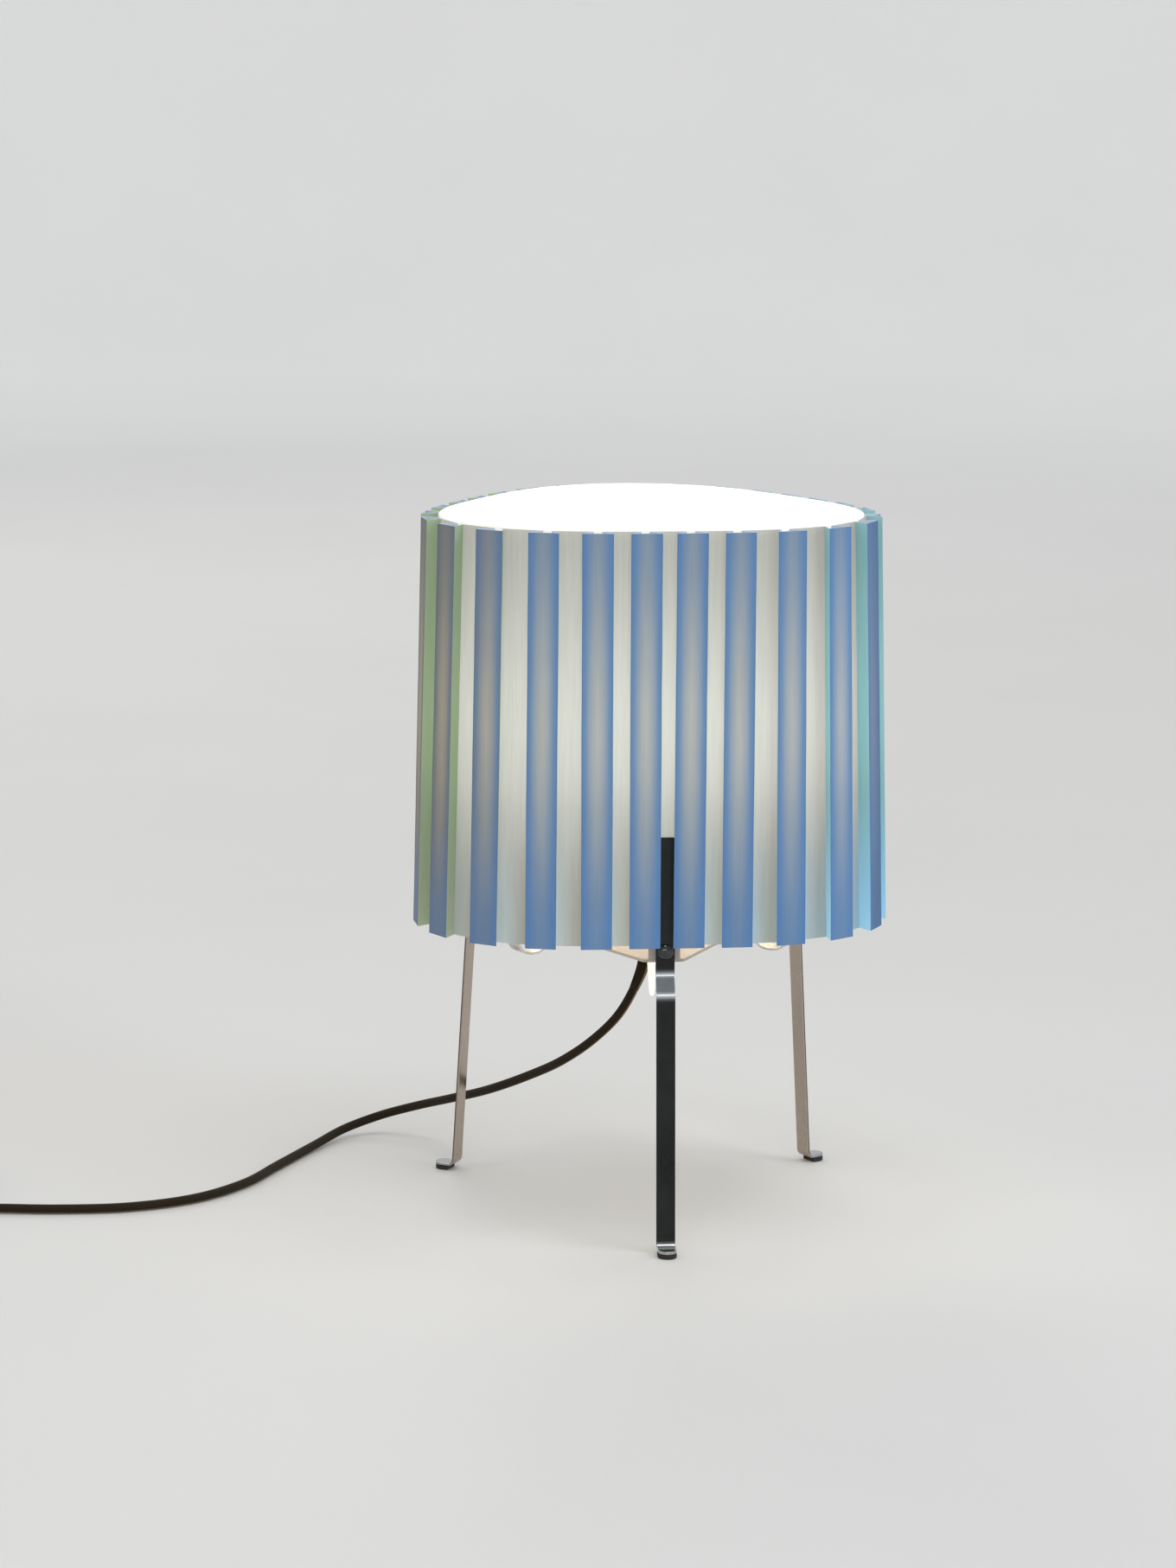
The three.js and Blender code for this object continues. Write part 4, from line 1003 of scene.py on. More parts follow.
def plan_rule_tree():
    """Group: a point beside the shade's three-lobed plan line, from its angle, side step and out step."""
    name = "Shade plan point"
    if name in bpy.data.node_groups:
        return bpy.data.node_groups[name]
    sheet = ShapeSheet(name)
    angle, flat, lobe, side, out = sheet.numbers(
        Angle=0.0, Flat_radius=0.0, Lobe_radius=0.0, Side_step=0.0, Out_step=0.0)
    triple = sheet.times(sheet.minus(angle, LEG_ANGLES[0]), 3.0)
    middle = sheet.times(sheet.plus(flat, lobe), 0.5)
    swing = sheet.times(sheet.minus(lobe, flat), 0.5)
    radius = sheet.minus(middle, sheet.times(swing, sheet.sum("COSINE", triple)))
    slope = sheet.times(sheet.times(swing, 3.0), sheet.sum("SINE", triple))
    cos, sin = sheet.sum("COSINE", angle), sheet.sum("SINE", angle)
    outward = sheet.join(cos, sin, 0.0)
    sideward = sheet.join(sheet.times(sin, -1.0), cos, 0.0)
    line = sheet.vector("ADD", sheet.scaled(outward, slope), sheet.scaled(sideward, radius))
    along = sheet.vector("NORMALIZE", line)
    ax, ay, _ = sheet.split(along)
    across = sheet.join(ay, sheet.times(ax, -1.0), 0.0)
    point = sheet.vector("ADD", sheet.scaled(outward, radius), sheet.scaled(along, side))
    sheet.output("Point", "Vector", sheet.vector("ADD", point, sheet.scaled(across, out)))
    return sheet.tree


def plan_point(sheet, angle, flat, lobe, side, out):
    """The plan line's point in another tree."""
    values = {"Angle": angle, "Flat radius": flat, "Lobe radius": lobe, "Side step": side, "Out step": out}
    return sheet.add("GeometryNodeGroup", values, node_tree=plan_rule_tree()).outputs["Point"]


def pleated_cover_tree():
    """Tree: a sheet folded into dovetail pleats that stands on the shade's plan line."""
    sheet = ShapeSheet("Pleated cover")
    count = sheet.input("Pleats", "Int", 27)
    rows = sheet.input("Rows", "Int", 29)
    face, neck, depth, flat, lobe_low, lobe_high, bottom, top, waviness = sheet.numbers(
        Face_width=0.0158, Neck_width=0.006, Pleat_depth=0.0081, Flat_radius=0.0962,
        Lobe_radius_bottom=0.1216, Lobe_radius_top=0.1159, Bottom=0.1562, Top=0.3647, Waviness=0.0002)
    centre = sheet.input("Centre", "Vector")
    material = sheet.input("Finish", "Material")

    # Each pleat takes six columns of the grid: the recess before it, then its folds from left to right.
    columns = sheet.times(count, FOLD_COLUMNS)
    grid, sideways, share = sheet.unit_grid(columns, rows)
    column = sheet.sum("ROUND", sheet.times(sideways, columns))
    pleat = sheet.sum("FLOOR", sheet.sum("DIVIDE", sheet.plus(column, 0.01), FOLD_COLUMNS))
    part = sheet.sum("ROUND", sheet.minus(column, sheet.times(pleat, FOLD_COLUMNS)))
    pitch = sheet.sum("DIVIDE", 2 * math.pi, count)
    angle = sheet.plus(sheet.times(sheet.plus(pleat, 0.5), pitch), LEG_ANGLES[0])
    right_neck, right_face = sheet.times(neck, 0.5), sheet.times(face, 0.5)
    left_neck, left_face = sheet.times(neck, -0.5), sheet.times(face, -0.5)
    side = sheet.pick(part, [left_neck, left_neck, left_face, 0.0, right_face, right_neck])
    out = sheet.pick(part, [0.0, 0.0, depth, depth, depth, 0.0])
    lobe = sheet.blend(lobe_low, lobe_high, share)

    # The first column stands half way between the necks of two pleats.
    before = plan_point(sheet, sheet.minus(angle, pitch), flat, lobe, right_neck, 0.0)
    halfway = sheet.add("ShaderNodeMix", {
        "Factor": sheet.times(sheet.sum("LESS_THAN", part, 0.5), 0.5),
        4: plan_point(sheet, angle, flat, lobe, side, out), 5: before}, data_type="VECTOR")
    x, y, _ = sheet.split(halfway.outputs[1])
    pleat_map = sheet.vector("MULTIPLY", grid.outputs["UV Map"], sheet.join(count, 1.0, 1.0))
    mapped = sheet.add(
        "GeometryNodeStoreNamedAttribute",
        {"Geometry": grid.outputs["Mesh"], "Name": "UVMap", "Value": pleat_map},
        data_type="FLOAT2", domain="CORNER")
    closed = sheet.wrapped(mapped.outputs[0], x, y, sheet.blend(bottom, top, share), centre)

    # The folded sheet is not quite flat.
    wave = sheet.add("ShaderNodeTexNoise", {"W": 7.3, "Scale": 38.0, "Detail": 2.0}, noise_dimensions="4D")
    lean = sheet.vector("SUBTRACT", wave.outputs["Color"], (0.5, 0.5, 0.5))
    offset = sheet.scaled(
        sheet.vector("MULTIPLY", lean, (1.0, 1.0, 0.0)), sheet.times(waviness, 2.0))
    wavy = sheet.add("GeometryNodeSetPosition", {"Geometry": closed, "Offset": offset})
    sheet.closing(wavy.outputs[0], material)
    return sheet.tree


def liner_tree():
    """Tree: the smooth wall inside the pleats, on the same plan line."""
    sheet = ShapeSheet("Shade liner")
    flat, lobe_low, lobe_high, inset, bottom, top = sheet.numbers(
        Flat_radius=0.0962, Lobe_radius_bottom=0.1216, Lobe_radius_top=0.1159, Inset=0.00105,
        Bottom=0.1562, Top=0.3655)
    centre = sheet.input("Centre", "Vector")
    material = sheet.input("Finish", "Material")
    columns = sheet.input("Columns", "Int", 216)
    rows = sheet.input("Rows", "Int", 12)
    grid, sideways, share = sheet.unit_grid(columns, rows)
    angle = sheet.plus(sheet.times(sideways, 2 * math.pi), LEG_ANGLES[0])
    lobe = sheet.blend(lobe_low, lobe_high, share)
    x, y, _ = sheet.split(plan_point(sheet, angle, flat, lobe, 0.0, sheet.times(inset, -1.0)))
    closed = sheet.wrapped(grid.outputs["Mesh"], x, y, sheet.blend(bottom, top, share), centre)
    sheet.closing(closed, material)
    return sheet.tree


def frayed_edge_tree():
    """Tree: loose fibres that hang from the cut bottom edge in the recesses, away from the fingers."""
    sheet = ShapeSheet("Frayed edge")
    count = sheet.input("Fibres", "Int", 240)
    pleats = sheet.input("Pleats", "Int", 27)
    seed = sheet.input("Seed", "Int", 5)
    flat, lobe, bottom, longest, thickness = sheet.numbers(
        Flat_radius=0.0962, Lobe_radius=0.1216, Bottom=0.1562, Longest=0.0034, Thickness=0.0001)
    centre = sheet.input("Centre", "Vector")
    material = sheet.input("Finish", "Material")

    def chance(offset, low=0.0, high=1.0):
        """A random number for each fibre."""
        inputs = {2: low, 3: high, "Seed": sheet.plus(seed, float(offset))}
        return sheet.add("FunctionNodeRandomValue", inputs, data_type="FLOAT").outputs[1]

    pitch = sheet.sum("DIVIDE", 2 * math.pi, pleats)
    in_third = sheet.sum("DIVIDE", pleats, 3.0)
    third = sheet.sum("FLOOR", chance(1, 0.0, 2.999))
    open_gaps = sheet.minus(in_third, 1.0)
    gap = sheet.plus(1.0, sheet.sum("FLOOR", sheet.times(chance(2, 0.0, 0.999), open_gaps)))
    recess = sheet.plus(sheet.times(third, in_third), gap)
    aside = sheet.plus(recess, chance(3, -0.27, 0.27))
    angle = sheet.plus(sheet.times(aside, pitch), LEG_ANGLES[0])
    x, y, _ = sheet.split(plan_point(sheet, angle, flat, lobe, 0.0, -0.0003))
    places = sheet.vector("ADD", sheet.join(x, y, bottom), centre)
    points = sheet.add("GeometryNodePoints", {"Count": count, "Position": places})

    strand = sheet.add("GeometryNodeCurveQuadraticBezier", {
        "Resolution": 4, "Start": (0.0, 0.0, 0.0001),
        "Middle": sheet.scaled(sheet.join(0.10, 0.0, -0.65), longest),
        "End": sheet.scaled(sheet.join(0.42, 0.16, -0.9), longest)})
    rod = sheet.add(
        "GeometryNodeCurvePrimitiveCircle",
        {"Resolution": 3, "Radius": sheet.times(thickness, 0.5)}, mode="RADIUS")
    fibre = sheet.add("GeometryNodeCurveToMesh", {
        "Curve": strand.outputs[0], "Profile Curve": rod.outputs[0], "Fill Caps": True})
    leaning = sheet.join(chance(4, -0.5, 0.5), chance(5, -0.5, 0.5), chance(6, 0.0, 2 * math.pi))
    size = sheet.plus(0.22, sheet.times(0.78, sheet.sum("POWER", chance(7), 4.0)))
    placed = sheet.add("GeometryNodeInstanceOnPoints", {
        "Points": points.outputs[0], "Instance": fibre.outputs[0], "Rotation": leaning,
        "Scale": sheet.join(size, size, size)})
    sheet.closing(placed.outputs[0], material)
    return sheet.tree


def ring_tree():
    """Tree: one piece repeated at equal angles round the lamp's axis."""
    name = "Ring of pieces"
    if name in bpy.data.node_groups:
        return bpy.data.node_groups[name]
    sheet = ShapeSheet(name)
    piece = sheet.input("Piece", "Object")
    count = sheet.input("Count", "Int", 3)
    first = sheet.input("First angle", "Float", 0.0)
    centre = sheet.input("Centre", "Vector")
    material = sheet.input("Finish", "Material")
    info = sheet.add("GeometryNodeObjectInfo", {"Object": piece}, transform_space="ORIGINAL")
    points = sheet.add("GeometryNodePoints", {"Count": count, "Position": centre})
    step = sheet.sum("DIVIDE", 2 * math.pi, count)
    number = sheet.add("GeometryNodeInputIndex").outputs[0]
    turn = sheet.plus(first, sheet.times(number, step))
    placed = sheet.add("GeometryNodeInstanceOnPoints", {
        "Points": points.outputs[0], "Instance": info.outputs["Geometry"],
        "Rotation": sheet.join(0.0, 0.0, turn)})
    sheet.closing(placed.outputs[0], material)
    return sheet.tree


def ringed(name, prototype, material, first_angle):
    """Repeats a prototype drawn along +X three times about the lamp's axis, then throws it away."""
    made = grown(
        ring_tree(), name, Piece=prototype, Count=3, First_angle=first_angle, Centre=AXIS,
        Finish=finish(material))
    bpy.data.objects.remove(prototype)
    return made


# The cord's route, in metres about the lamp's axis.


CORD_ROUTE = [
    (0, 0, 0.135), (0, 0, 0.1303), (0.0002, -0.0002, 0.126), (-0.0049, -0.0002, 0.1117),
    (-0.0129, 0.0027, 0.0967), (-0.0248, 0.0092, 0.0826), (-0.0402, 0.0253, 0.067),
    (-0.057, 0.0477, 0.053), (-0.0769, 0.0733, 0.039), (-0.0945, 0.099, 0.028),
    (-0.113, 0.12, 0.0185), (-0.1323, 0.1295, 0.011), (-0.1518, 0.1239, 0.0056),
    (-0.1702, 0.0989, 0.003), (-0.1919, 0.06, 0.0026), (-0.2105, 0.026, 0.0026),
    (-0.2368, 0, 0.0026), (-0.27, -0.013, 0.0026), (-0.306, -0.014, 0.0026),
    (-0.342, -0.0102, 0.0028),
]
COIL_CENTRE = Vector((-0.398, 0.022, 0))
COIL_RADIUS = 0.027
COIL_PITCH = 0.0062
COIL_RISE = 0.0055
COIL_LAYERS = 4
COIL_LAYER_TURNS = 1.375
COIL_CLIMB_TURNS = 0.5
COIL_BASE = 0.0037
COIL_STEPS = 252
TAIL_LENGTH = 0.062
PLUG_HEIGHT = 0.0068
SEAT_GAP = 0.0003
ROUTE_STEP = 0.003


def coil_point(turn):
    """Where the cord is after so many turns: layers wound inwards and outwards by turns, each on the last."""
    course = COIL_LAYER_TURNS + COIL_CLIMB_TURNS
    layer = min(int(turn / course), COIL_LAYERS - 1)
    within = turn - layer * course
    travelled = COIL_PITCH * min(within, COIL_LAYER_TURNS)
    climb = max(within - COIL_LAYER_TURNS, 0) / COIL_CLIMB_TURNS
    outer = COIL_RADIUS + COIL_PITCH * COIL_LAYER_TURNS / 2
    radius = outer - travelled if layer % 2 == 0 else outer - COIL_PITCH * COIL_LAYER_TURNS + travelled
    angle = -math.pi / 2 - 2 * math.pi * turn
    ease = climb * climb * (3 - 2 * climb)
    height = COIL_BASE + COIL_RISE * (layer + ease)
    return COIL_CENTRE + Vector((radius * math.cos(angle), radius * math.sin(angle), height))


def smooth_curve(points, step):
    """Centripetal curve through the points, sampled about every step."""
    points = [points[0] * 2 - points[1], *points, points[-1] * 2 - points[-2]]
    found = []
    for p0, p1, p2, p3 in zip(points, points[1:], points[2:], points[3:]):
        gaps = [math.sqrt(max((b - a).length, 1e-9)) for a, b in ((p0, p1), (p1, p2), (p2, p3))]
        t0, t1, t2, t3 = 0.0, gaps[0], gaps[0] + gaps[1], gaps[0] + gaps[1] + gaps[2]
        count = max(1, round((p2 - p1).length / step))
        for k in range(count):
            t = t1 + (t2 - t1) * k / count
            a1 = p0 * ((t1 - t) / (t1 - t0)) + p1 * ((t - t0) / (t1 - t0))
            a2 = p1 * ((t2 - t) / (t2 - t1)) + p2 * ((t - t1) / (t2 - t1))
            a3 = p2 * ((t3 - t) / (t3 - t2)) + p3 * ((t - t2) / (t3 - t2))
            b1 = a1 * ((t2 - t) / (t2 - t0)) + a2 * ((t - t0) / (t2 - t0))
            b2 = a2 * ((t3 - t) / (t3 - t1)) + a3 * ((t - t1) / (t3 - t1))
            found.append(b1 * ((t2 - t) / (t2 - t1)) + b2 * ((t - t1) / (t2 - t1)))
    found.append(points[-2])
    return found


def cord_line():
    """The whole cord's middle line: lead, coil and tail, in the row frame."""
    diameter = bpy.context.scene.lamp_cord_sizes.diameter
    turns = COIL_LAYERS * COIL_LAYER_TURNS + (COIL_LAYERS - 1) * COIL_CLIMB_TURNS
    wound = [coil_point(turns * k / COIL_STEPS) for k in range(COIL_STEPS + 1)]
    entry = wound[0] + Vector((diameter + SEAT_GAP, 0, 0))
    lead = [Vector(p) for p in CORD_ROUTE] + [entry + Vector((diameter, 0, 0)), entry]
    way_out = wound[-1] - Vector((diameter + SEAT_GAP, 0, 0))
    fall = way_out.z - PLUG_HEIGHT

    def on_tail(share, height):
        return Vector((way_out.x - share * TAIL_LENGTH, way_out.y, height))

    tail = [
        way_out, on_tail(0.08, way_out.z), on_tail(0.3, way_out.z - 0.13 * fall),
        on_tail(0.5, way_out.z - 0.5 * fall), on_tail(0.7, PLUG_HEIGHT + 0.13 * fall),
        on_tail(0.92, PLUG_HEIGHT), on_tail(1.0, PLUG_HEIGHT)]
    line = smooth_curve(lead, ROUTE_STEP) + wound + smooth_curve(tail, ROUTE_STEP)
    return [AXIS + point for point in line]


def line_length(points):
    return sum((q - p).length for p, q in zip(points, points[1:]))


# The stage, in metres, watts and degrees.


FLOOR_RINGS = (0.6, 1.5, 2.8, 4.2)
CURVE_RADIUS = 1.4
CURVE_STEPS = 16
WALL_TOP = 3.4
FLOOR_SPOKES = 96
SKY = (0.90, 0.95, 1.0, 1.0)
SKY_STRENGTH = 0.58
# Name, place, point it is aimed at, width, height, power and tint of each light.
SOFTBOXES = (
    ("overhead", (0.3, -0.4, 2.6), (0, 0, 0.15), 1.6, 1.6, 26, (1.0, 0.97, 0.93)),
    ("cool_right", (2.4, -1.6, 1.5), (0, 0, 0.25), 1.3, 1.3, 26, (0.80, 0.90, 1.0)),
    ("warm_left", (-2.5, -1.2, 1.3), (0, 0, 0.2), 1.3, 1.3, 9, (1.0, 0.9, 0.8)),
    ("rear", (-0.6, 2.6, 1.9), (0, 0, 0.2), 1.4, 1.4, 14, (1.0, 0.96, 0.9)),
    ("front_strip", (-0.5, -3.2, 0.98), (0, 0, 0.14), 2.0, 0.34, 9, (0.92, 0.96, 1.0)),
)
CAMERA_PLACE = (-0.2363, -2.1109, 0.6097)
CAMERA_HEADING, CAMERA_DIP = -5.6, 10.401
CAMERA_ROLL = 0.0046
CAMERA_LENS, CAMERA_FILM = 94.95, 36


# Sizes that the pieces share, in metres.


SCREW_HEIGHT = 0.1531
SCREW_TIP_PAST_NUT = 0.0009
NUT_THICKNESS = 0.0032
TAB_INNER = 0.0922
SPACER_START = 0.094
SHELF_HEIGHT = 0.14905
SHELL_RADIUS = 0.020
CAP_RADIUS = 0.0131
BULB_RADIUS = 0.030


def plan_inputs(sizes, node):
    """Inputs that the trees on the shade's plan line share."""
    bottom, top = heights(node)
    return {
        "Flat_radius": sizes.flat_radius, "Lobe_radius_bottom": sizes.lobe_bottom - sizes.pleat_depth,
        "Lobe_radius_top": sizes.lobe_top - sizes.pleat_depth, "Bottom": bottom, "Top": top, "Centre": AXIS}


def thickened(obj, name, thickness, **settings):
    """Gives a wall its thickness, towards the lamp's axis."""
    thicken = obj.modifiers.new(name, "SOLIDIFY")
    thicken.thickness = thickness
    thicken.offset = 1.0 if faces_in(obj) else -1.0
    for key, value in settings.items():
        setattr(thicken, key, value)
    return applied(obj)


# One operator for each piece or group of like pieces.


class LampOperator:
    bl_options = {"REGISTER", "UNDO"}

    def execute(self, context):
        self.make(context.scene)
        return {"FINISHED"}


class LAMP_OT_stage(LampOperator, bpy.types.Operator):
    """Lays the pale floor and its curved backdrop, hangs the soft lights and sets the camera"""
    bl_idname = "table_lamp.stage"
    bl_label = "Stage, lights and camera"

    def make(self, scene):
        self.lay_floor()
        world = bpy.data.worlds.new("studio")
        world.use_nodes = True
        sky = world.node_tree.nodes["Background"]
        sky.inputs[0].default_value = SKY
        sky.inputs[1].default_value = SKY_STRENGTH
        scene.world = world
        for softbox in SOFTBOXES:
            self.hang(*softbox)
        scene.view_settings.view_transform = "Standard"
        scene.view_settings.look = "None"

        camera = linked(bpy.data.objects.new("camera", bpy.data.cameras.new("camera")))
        camera.data.lens = CAMERA_LENS
        camera.data.sensor_fit = "VERTICAL"
        camera.data.sensor_height = CAMERA_FILM
        camera.location = CAMERA_PLACE
        heading = Matrix.Rotation(math.radians(CAMERA_HEADING), 4, "Z")
        tilt = Matrix.Rotation(math.radians(90 - CAMERA_DIP), 4, "X")
        camera.rotation_euler = (heading @ tilt @ Matrix.Rotation(CAMERA_ROLL, 4, "Z")).to_euler()
        scene.camera = camera

    def lay_floor(self):
        """A round floor whose edge curves up into a wall."""
        profile = [(radius, 0.0) for radius in FLOOR_RINGS]
        edge = FLOOR_RINGS[-1]
        for k in range(1, CURVE_STEPS + 1):
            angle = math.pi / 2 * k / CURVE_STEPS
            profile.append((edge + CURVE_RADIUS * math.sin(angle), CURVE_RADIUS * (1 - math.cos(angle))))
        profile.append((edge + CURVE_RADIUS, WALL_TOP))
        vertices = [Vector((0, 0, 0))]
        for radius, height in profile:
            for k in range(FLOOR_SPOKES):
                angle = 2 * math.pi * k / FLOOR_SPOKES
                vertices.append(Vector((radius * math.cos(angle), radius * math.sin(angle), height)))
        faces = [(0, 1 + k, 1 + (k + 1) % FLOOR_SPOKES) for k in range(FLOOR_SPOKES)]
        # The rings run outwards, so their quads are turned round to face up.
        for a, b, c, d in ring_faces(len(profile), FLOOR_SPOKES):
            faces.append((1 + a, 1 + d, 1 + c, 1 + b))
        floor = smooth_faces(mesh_object("stage_floor", vertices, faces, "pale_floor"))

    def hang(self, name, place, target, width, height, power, tint):
        """One soft light, aimed at a point."""
        light = bpy.data.lights.new(name, "AREA")
        light.shape = "RECTANGLE"
        light.size = width
        light.size_y = height
        light.energy = power
        light.color = tint
        obj = linked(bpy.data.objects.new(name, light))
        obj.location = place
        obj.rotation_euler = (Vector(place) - Vector(target)).to_track_quat("Z", "Y").to_euler()


class LAMP_OT_cord(LampOperator, bpy.types.Operator):
    """Winds the braided cord from the grip along the floor into its coil and on to the plug"""
    bl_idname = "table_lamp.cord"
    bl_label = "Braided cord, tie and plug"

    def make(self, scene):
        sizes = scene.lamp_cord_sizes
        line = cord_line()
        cord = tube_along("braided_cord", line, lambda reached: sizes.diameter / 2, 14, "braid")
        settle(cord, "base", "braid", "cord_lead", "cord_coil", "cord_tail")
        boot = self.make_boot(line, sizes.diameter / 2)
        tie = refined("cord_tie", "cord_tie_band", "black_plastic", 0.00035, 2)
        plug = refined("plug_body", "plug_shell", "black_plastic", 0.0016, 5, 40)
        pins = self.make_pins()
        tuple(line[0])
        line_length(line)

    def make_boot(self, line, cord_radius):
        """The cord's sleeve below the grip, widest at the grip and thinning out along the cord."""
        leaves = heights("cord_grip")[0]
        start, end, rings = leaves - 0.0001, leaves - 0.021, 9
        covered = [p for p in line if end < p.z <= start][:rings]
        boot_length = line_length(covered)
        slack, flare, taper = 0.00012, 0.00085, 0.8

        def radius_at(reached):
            return cord_radius + slack + flare * (1 - reached / boot_length) ** taper

        return settle(tube_along("cord_boot", covered, radius_at, 24, "braid"), "base", "braid")

    def make_pins(self):
        """Round pins with rounded tips."""
        pins = []
        for node in ("plug_pin_left", "plug_pin_right"):
            low, high = box_ends(node)
            reach, radius = high.x - low.x, (high.y - low.y) / 2
            profile = rounded_profile([
                (0, 0, 0), (radius, 0, 0.0002), (radius, reach, radius * 0.85), (0, reach, 0)])
            pin = turned(node + "_metal", profile, "zinc_steel", Vector(), 32, False)
            pin.data.transform(Matrix.Rotation(-math.pi / 2, 4, "Y"))
            pin.data.transform(Matrix.Translation((high.x, (low.y + high.y) / 2, (low.z + high.z) / 2)))
            pins.append(smoothed(pin))
        return settle(joined("plug_pins", pins), "base", "zinc_steel", "plug_pin_left", "plug_pin_right")


class LAMP_OT_cover(LampOperator, bpy.types.Operator):
    """Folds the pleated cover from the pleat's own sizes, with fibres at its frayed bottom edge"""
    bl_idname = "table_lamp.cover"
    bl_label = "Pleated cover"

    def make(self, scene):
        sizes = scene.lamp_shade_sizes
        cover = grown(
            pleated_cover_tree(), "pleated_cover", Pleats=sizes.pleat_count, Face_width=sizes.face_width,
            Neck_width=sizes.neck_width, Pleat_depth=sizes.pleat_depth, Waviness=sizes.waviness,
            Finish=finish("pleat_sheet"), **plan_inputs(sizes, "shade_pleated_cover"))
        cover.vertex_groups.new(name="inside")
        thickened(cover, "Sheet", sizes.sheet, use_even_offset=True, shell_vertex_group="inside")
        weights = [vertex.groups[0].weight if vertex.groups else 0.0 for vertex in cover.data.vertices]
        cover.vertex_groups.clear()
        cover.data.attributes.new("inside", "FLOAT", "POINT").data.foreach_set("value", weights)
        smoothed(faced_outwards(cover), 0.00022, 2, 25)
        settle(cover, "shade", "pleat_sheet", "shade_pleated_cover")
        fibres = grown(
            frayed_edge_tree(), "frayed_edge", Pleats=sizes.pleat_count, Flat_radius=sizes.flat_radius,
            Lobe_radius=sizes.lobe_bottom - sizes.pleat_depth, Bottom=heights("shade_pleated_cover")[0],
            Centre=AXIS, Finish=finish("loose_fibre"))
        settle(fibres, "shade", "pleat_sheet")


class LAMP_OT_liner(LampOperator, bpy.types.Operator):
    """Stands the smooth liner inside the pleats"""
    bl_idname = "table_lamp.liner"
    bl_label = "Shade liner"

    def make(self, scene):
        sizes = scene.lamp_shade_sizes
        glue_gap = 0.00045
        liner = grown(
            liner_tree(), "smooth_liner", Inset=sizes.sheet + glue_gap, Finish=finish("liner_sheet"),
            **plan_inputs(sizes, "shade_liner"))
        thickened(liner, "Wall", sizes.wall)
        smoothed(faced_outwards(liner), 0.00025, 3, 40)
        settle(liner, "shade", "liner_sheet", "shade_liner")


class LAMP_OT_legs(LampOperator, bpy.types.Operator):
    """Bends the three strip legs and pads their feet"""
    bl_idname = "table_lamp.legs"
    bl_label = "Strip legs and foot pads"

    def make(self, scene):
        sizes = scene.lamp_strip_sizes
        finger = sizes.finger_radius
        joggle, splay, foot = 0.004, 0.00825, 0.012
        sole = 0.00325
        corners = [
            (finger, sizes.finger_top, 0), (finger, 0.1411, 0.004), (finger + joggle, 0.1316, 0.004),
            (finger + joggle + splay, sole, 0.0035), (finger + joggle + splay + foot, sole, 0)]
        bends = [(corner[1], sharpness) for corner, sharpness in zip(corners[1:4], (1.0, 1.0, 0.75))]
        # How far each bend's painted highlight spreads, and the painted reflection between the joggle's
        # bends.
        bend_spread, joggle_reflection = 0.0015, 0.34

        def bend_highlight(point):
            """Painted highlight where the strip was bent, and a weaker painted reflection between the two
            bends of the joggle.
            """
            scuff_and_sheen = joggle_reflection if bends[1][0] < point.y < bends[0][0] else 0.0
            wear_and_highlight = [share * math.exp(-((point.y - height) / bend_spread) ** 2) for height, share in bends]
            return max(scuff_and_sheen, *wear_and_highlight)

        line = bent_line(corners, 18, 0.0012)
        leg = strip_mesh("leg_pattern", line, sizes, 0.0015, sizes.width / 2, "dark_steel", bend_highlight)
        legs = ringed("strip_legs", leg, "dark_steel", LEG_ANGLES[0])
        settle(legs, "base", "dark_steel", *(f"leg_{name}" for name in LEG_NAMES))
        for name in LEG_NAMES:
            refined(f"foot_pad_{name}", f"foot_pad_{name}_rubber", "rubber", 0.0004, 2)


class LAMP_OT_leg_fasteners(LampOperator, bpy.types.Operator):
    """Sets the domed screws, spacers and nuts that hold the legs to the plate's tabs"""
    bl_idname = "table_lamp.leg_fasteners"
    bl_label = "Leg screws, spacers and nuts"

    def make(self, scene):
        strip = scene.lamp_strip_sizes
        outer = strip.finger_radius + strip.thickness / 2 + SEAT_GAP
        shank = outer - (TAB_INNER - SEAT_GAP - NUT_THICKNESS - SCREW_TIP_PAST_NUT)
        screw = [(0.0, -shank), (0.0017, -shank), (0.002, -shank + 0.0003), (0.002, 0.0), (0.0038, 0.0)]
        screw += dome(0.004, 0.00018, 0.00212, 12)
        self.lay("leg_screws", screw, False, outer, "dark_screw", "dark_steel", "leg_screw", 48)
        sleeve = rounded_profile([
            (0.0022, 0, 0.0002), (0.0028, 0, 0.0002), (0.0028, 0.0022, 0.0002), (0.0022, 0.0022, 0.0002)], 3)
        self.lay("leg_spacers", sleeve, True, SPACER_START, "zinc_steel", "zinc_steel", "leg_spacer", 32)
        for name in LEG_NAMES:
            refined(f"leg_nut_{name}", f"leg_nut_{name}_bevelled", "zinc_steel", 0.0003, 2)

    def lay(self, name, profile, closed, start, material, slot, node, steps):
        """Turns a piece along +X at the screws' height and repeats it at each leg."""
        pattern = turned(name + "_pattern", profile, material, Vector(), steps, closed)
        pattern.data.transform(Matrix.Rotation(math.pi / 2, 4, "Y"))
        pattern.data.transform(Matrix.Translation((start, 0, SCREW_HEIGHT)))
        ring = ringed(name, smoothed(pattern), material, LEG_ANGLES[0])
        settle(ring, "base", slot, *(f"{node}_{leg}" for leg in LEG_NAMES))


